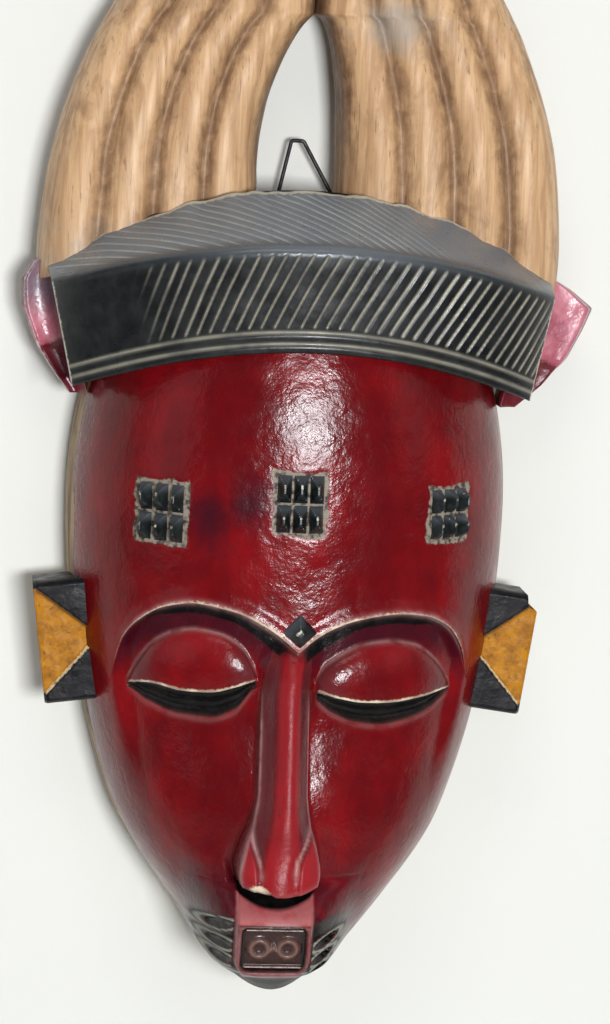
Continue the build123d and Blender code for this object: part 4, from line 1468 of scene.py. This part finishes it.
def area_light(name, place, target, size, power, color):
    light = bpy.data.lights.new(name, "AREA")
    light.shape = "RECTANGLE"
    light.size, light.size_y = size
    light.energy = power
    light.color = color
    lamp = bpy.data.objects.new(name, light)
    lamp.location = Vector(place)
    lamp.rotation_euler = (Vector(target) - Vector(place)).to_track_quat("-Z", "Y").to_euler()
    bpy.context.scene.collection.objects.link(lamp)


VIEW_ANGLES = (-6, 8, 2.5)  # azimuth, elevation and roll, in degrees
VIEW_DISTANCE = 1.15
VIEW_TARGET = (3.8, -45, -130)
SENSOR_WIDTH, LENS = 36, 113.7


def make_camera():
    azimuth, elevation, roll = map(radians, VIEW_ANGLES)
    target = Vector(VIEW_TARGET) * MM
    back = Vector((sin(azimuth) * cos(elevation), -cos(azimuth) * cos(elevation), sin(elevation)))
    right = Vector((cos(azimuth), sin(azimuth), 0))
    up = back.cross(right)
    turned_right = right * cos(roll) + up * sin(roll)
    turned_up = up * cos(roll) - right * sin(roll)
    data = bpy.data.cameras.new("camera")
    data.sensor_width = SENSOR_WIDTH
    data.lens = LENS
    camera = bpy.data.objects.new("camera", data)
    axes = Matrix((turned_right, turned_up, back)).transposed().to_4x4()
    camera.matrix_world = Matrix.Translation(target + back * VIEW_DISTANCE) @ axes
    bpy.context.scene.collection.objects.link(camera)
    bpy.context.scene.camera = camera


def plain_sheet(name, corners, faces, color, see_through=False):
    mesh = bpy.data.meshes.new(name)
    mesh.from_pydata(corners, [], faces)
    sheet = bpy.data.objects.new(name, mesh)
    bpy.context.scene.collection.objects.link(sheet)
    f = Finish(name, roughness=0.85, Specular_IOR_Level=0.2)
    f.color(f.blend(color, paint(218, 217, 211), f.noise(240, 3)))
    f.bump(f.noise(9, 4), 0.15)
    if see_through:
        # the wall's back does not hide the mask from behind
        back = f.nodes.new("ShaderNodeNewGeometry").outputs["Backfacing"]
        f.put(f.shader.inputs["Alpha"], f.math("SUBTRACT", 1.0, back))
    mesh.materials.append(f.material)


def rectangle(half_width, low, top):
    return [(-half_width, low), (half_width, low), (half_width, top), (-half_width, top)]


def make_stage():
    wall_y = 0.0015
    floor_z = cad_bounds[0][2] - 0.6
    far, top = 1.6, 1.2
    # the wall is open behind the face's hollow, out of sight from the front
    opening = rectangle(0.04, -0.25, -0.1)
    corners = [(x, wall_y, z) for x, z in rectangle(far, floor_z, top) + opening]
    ring = [(k, (k + 1) % 4, (k + 1) % 4 + 4, k + 4) for k in range(4)]
    plain_sheet("wall", corners, ring, paint(212, 212, 206), see_through=True)
    floor = [(x, y, floor_z) for x, y in rectangle(far, -far, wall_y)]
    plain_sheet("floor", floor, [(0, 1, 2, 3)], paint(214, 212, 206))
    world = bpy.data.worlds.new("room")
    world.use_nodes = True
    sky = world.node_tree.nodes["Background"].inputs
    sky["Color"].default_value = (0.86, 0.93, 1.0, 1)
    sky["Strength"].default_value = 0.15
    bpy.context.scene.world = world
    for name, (place, target, size, power, color) in LIGHTS.items():
        area_light(name, place, target, size, power, color)
    bpy.context.scene.view_settings.view_transform = "Standard"


def finish_cad_nodes():
    """Materials for the CAD nodes that show as they are."""
    wire = steel_finish("wire_steel", paint(46, 44, 46), 0.35)
    screw = steel_finish("screw_steel", paint(150, 146, 140), 0.3)
    dowel = dowel_finish()
    for name, material in {
        "hanger_wire": wire,
        "hanger_eyes": screw,
        "crown_screws": screw,
        "horn_dowels": dowel,
        "flap_pegs": dowel,
        "ornament_wedges": dowel,
    }.items():
        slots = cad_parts[name].data.materials
        slots.clear()
        slots.append(material)


make_camera()
make_stage()
make_face(face_finish())
make_band(lacquer_finish("crown_paint", paint(13, 14, 15), paint(29, 31, 31)))
wood = horn_finish()
for side_name, side in SIDES.items():
    make_horn(f"horn_{side_name}", side, wood)
stud_paint = lacquer_finish("stud_paint", paint(14, 17, 17), paint(34, 40, 40), 3)
flap_paint = flap_finish()
ornament_paint = ornament_finish()
for side_name, side in SIDES.items():
    make_flap(side_name, side, flap_paint)
    make_ornament(side_name, side, ornament_paint)
make_studs(stud_paint)
make_brow_stud(stud_paint)
make_mouth_plate(mouth_finish())
finish_cad_nodes()
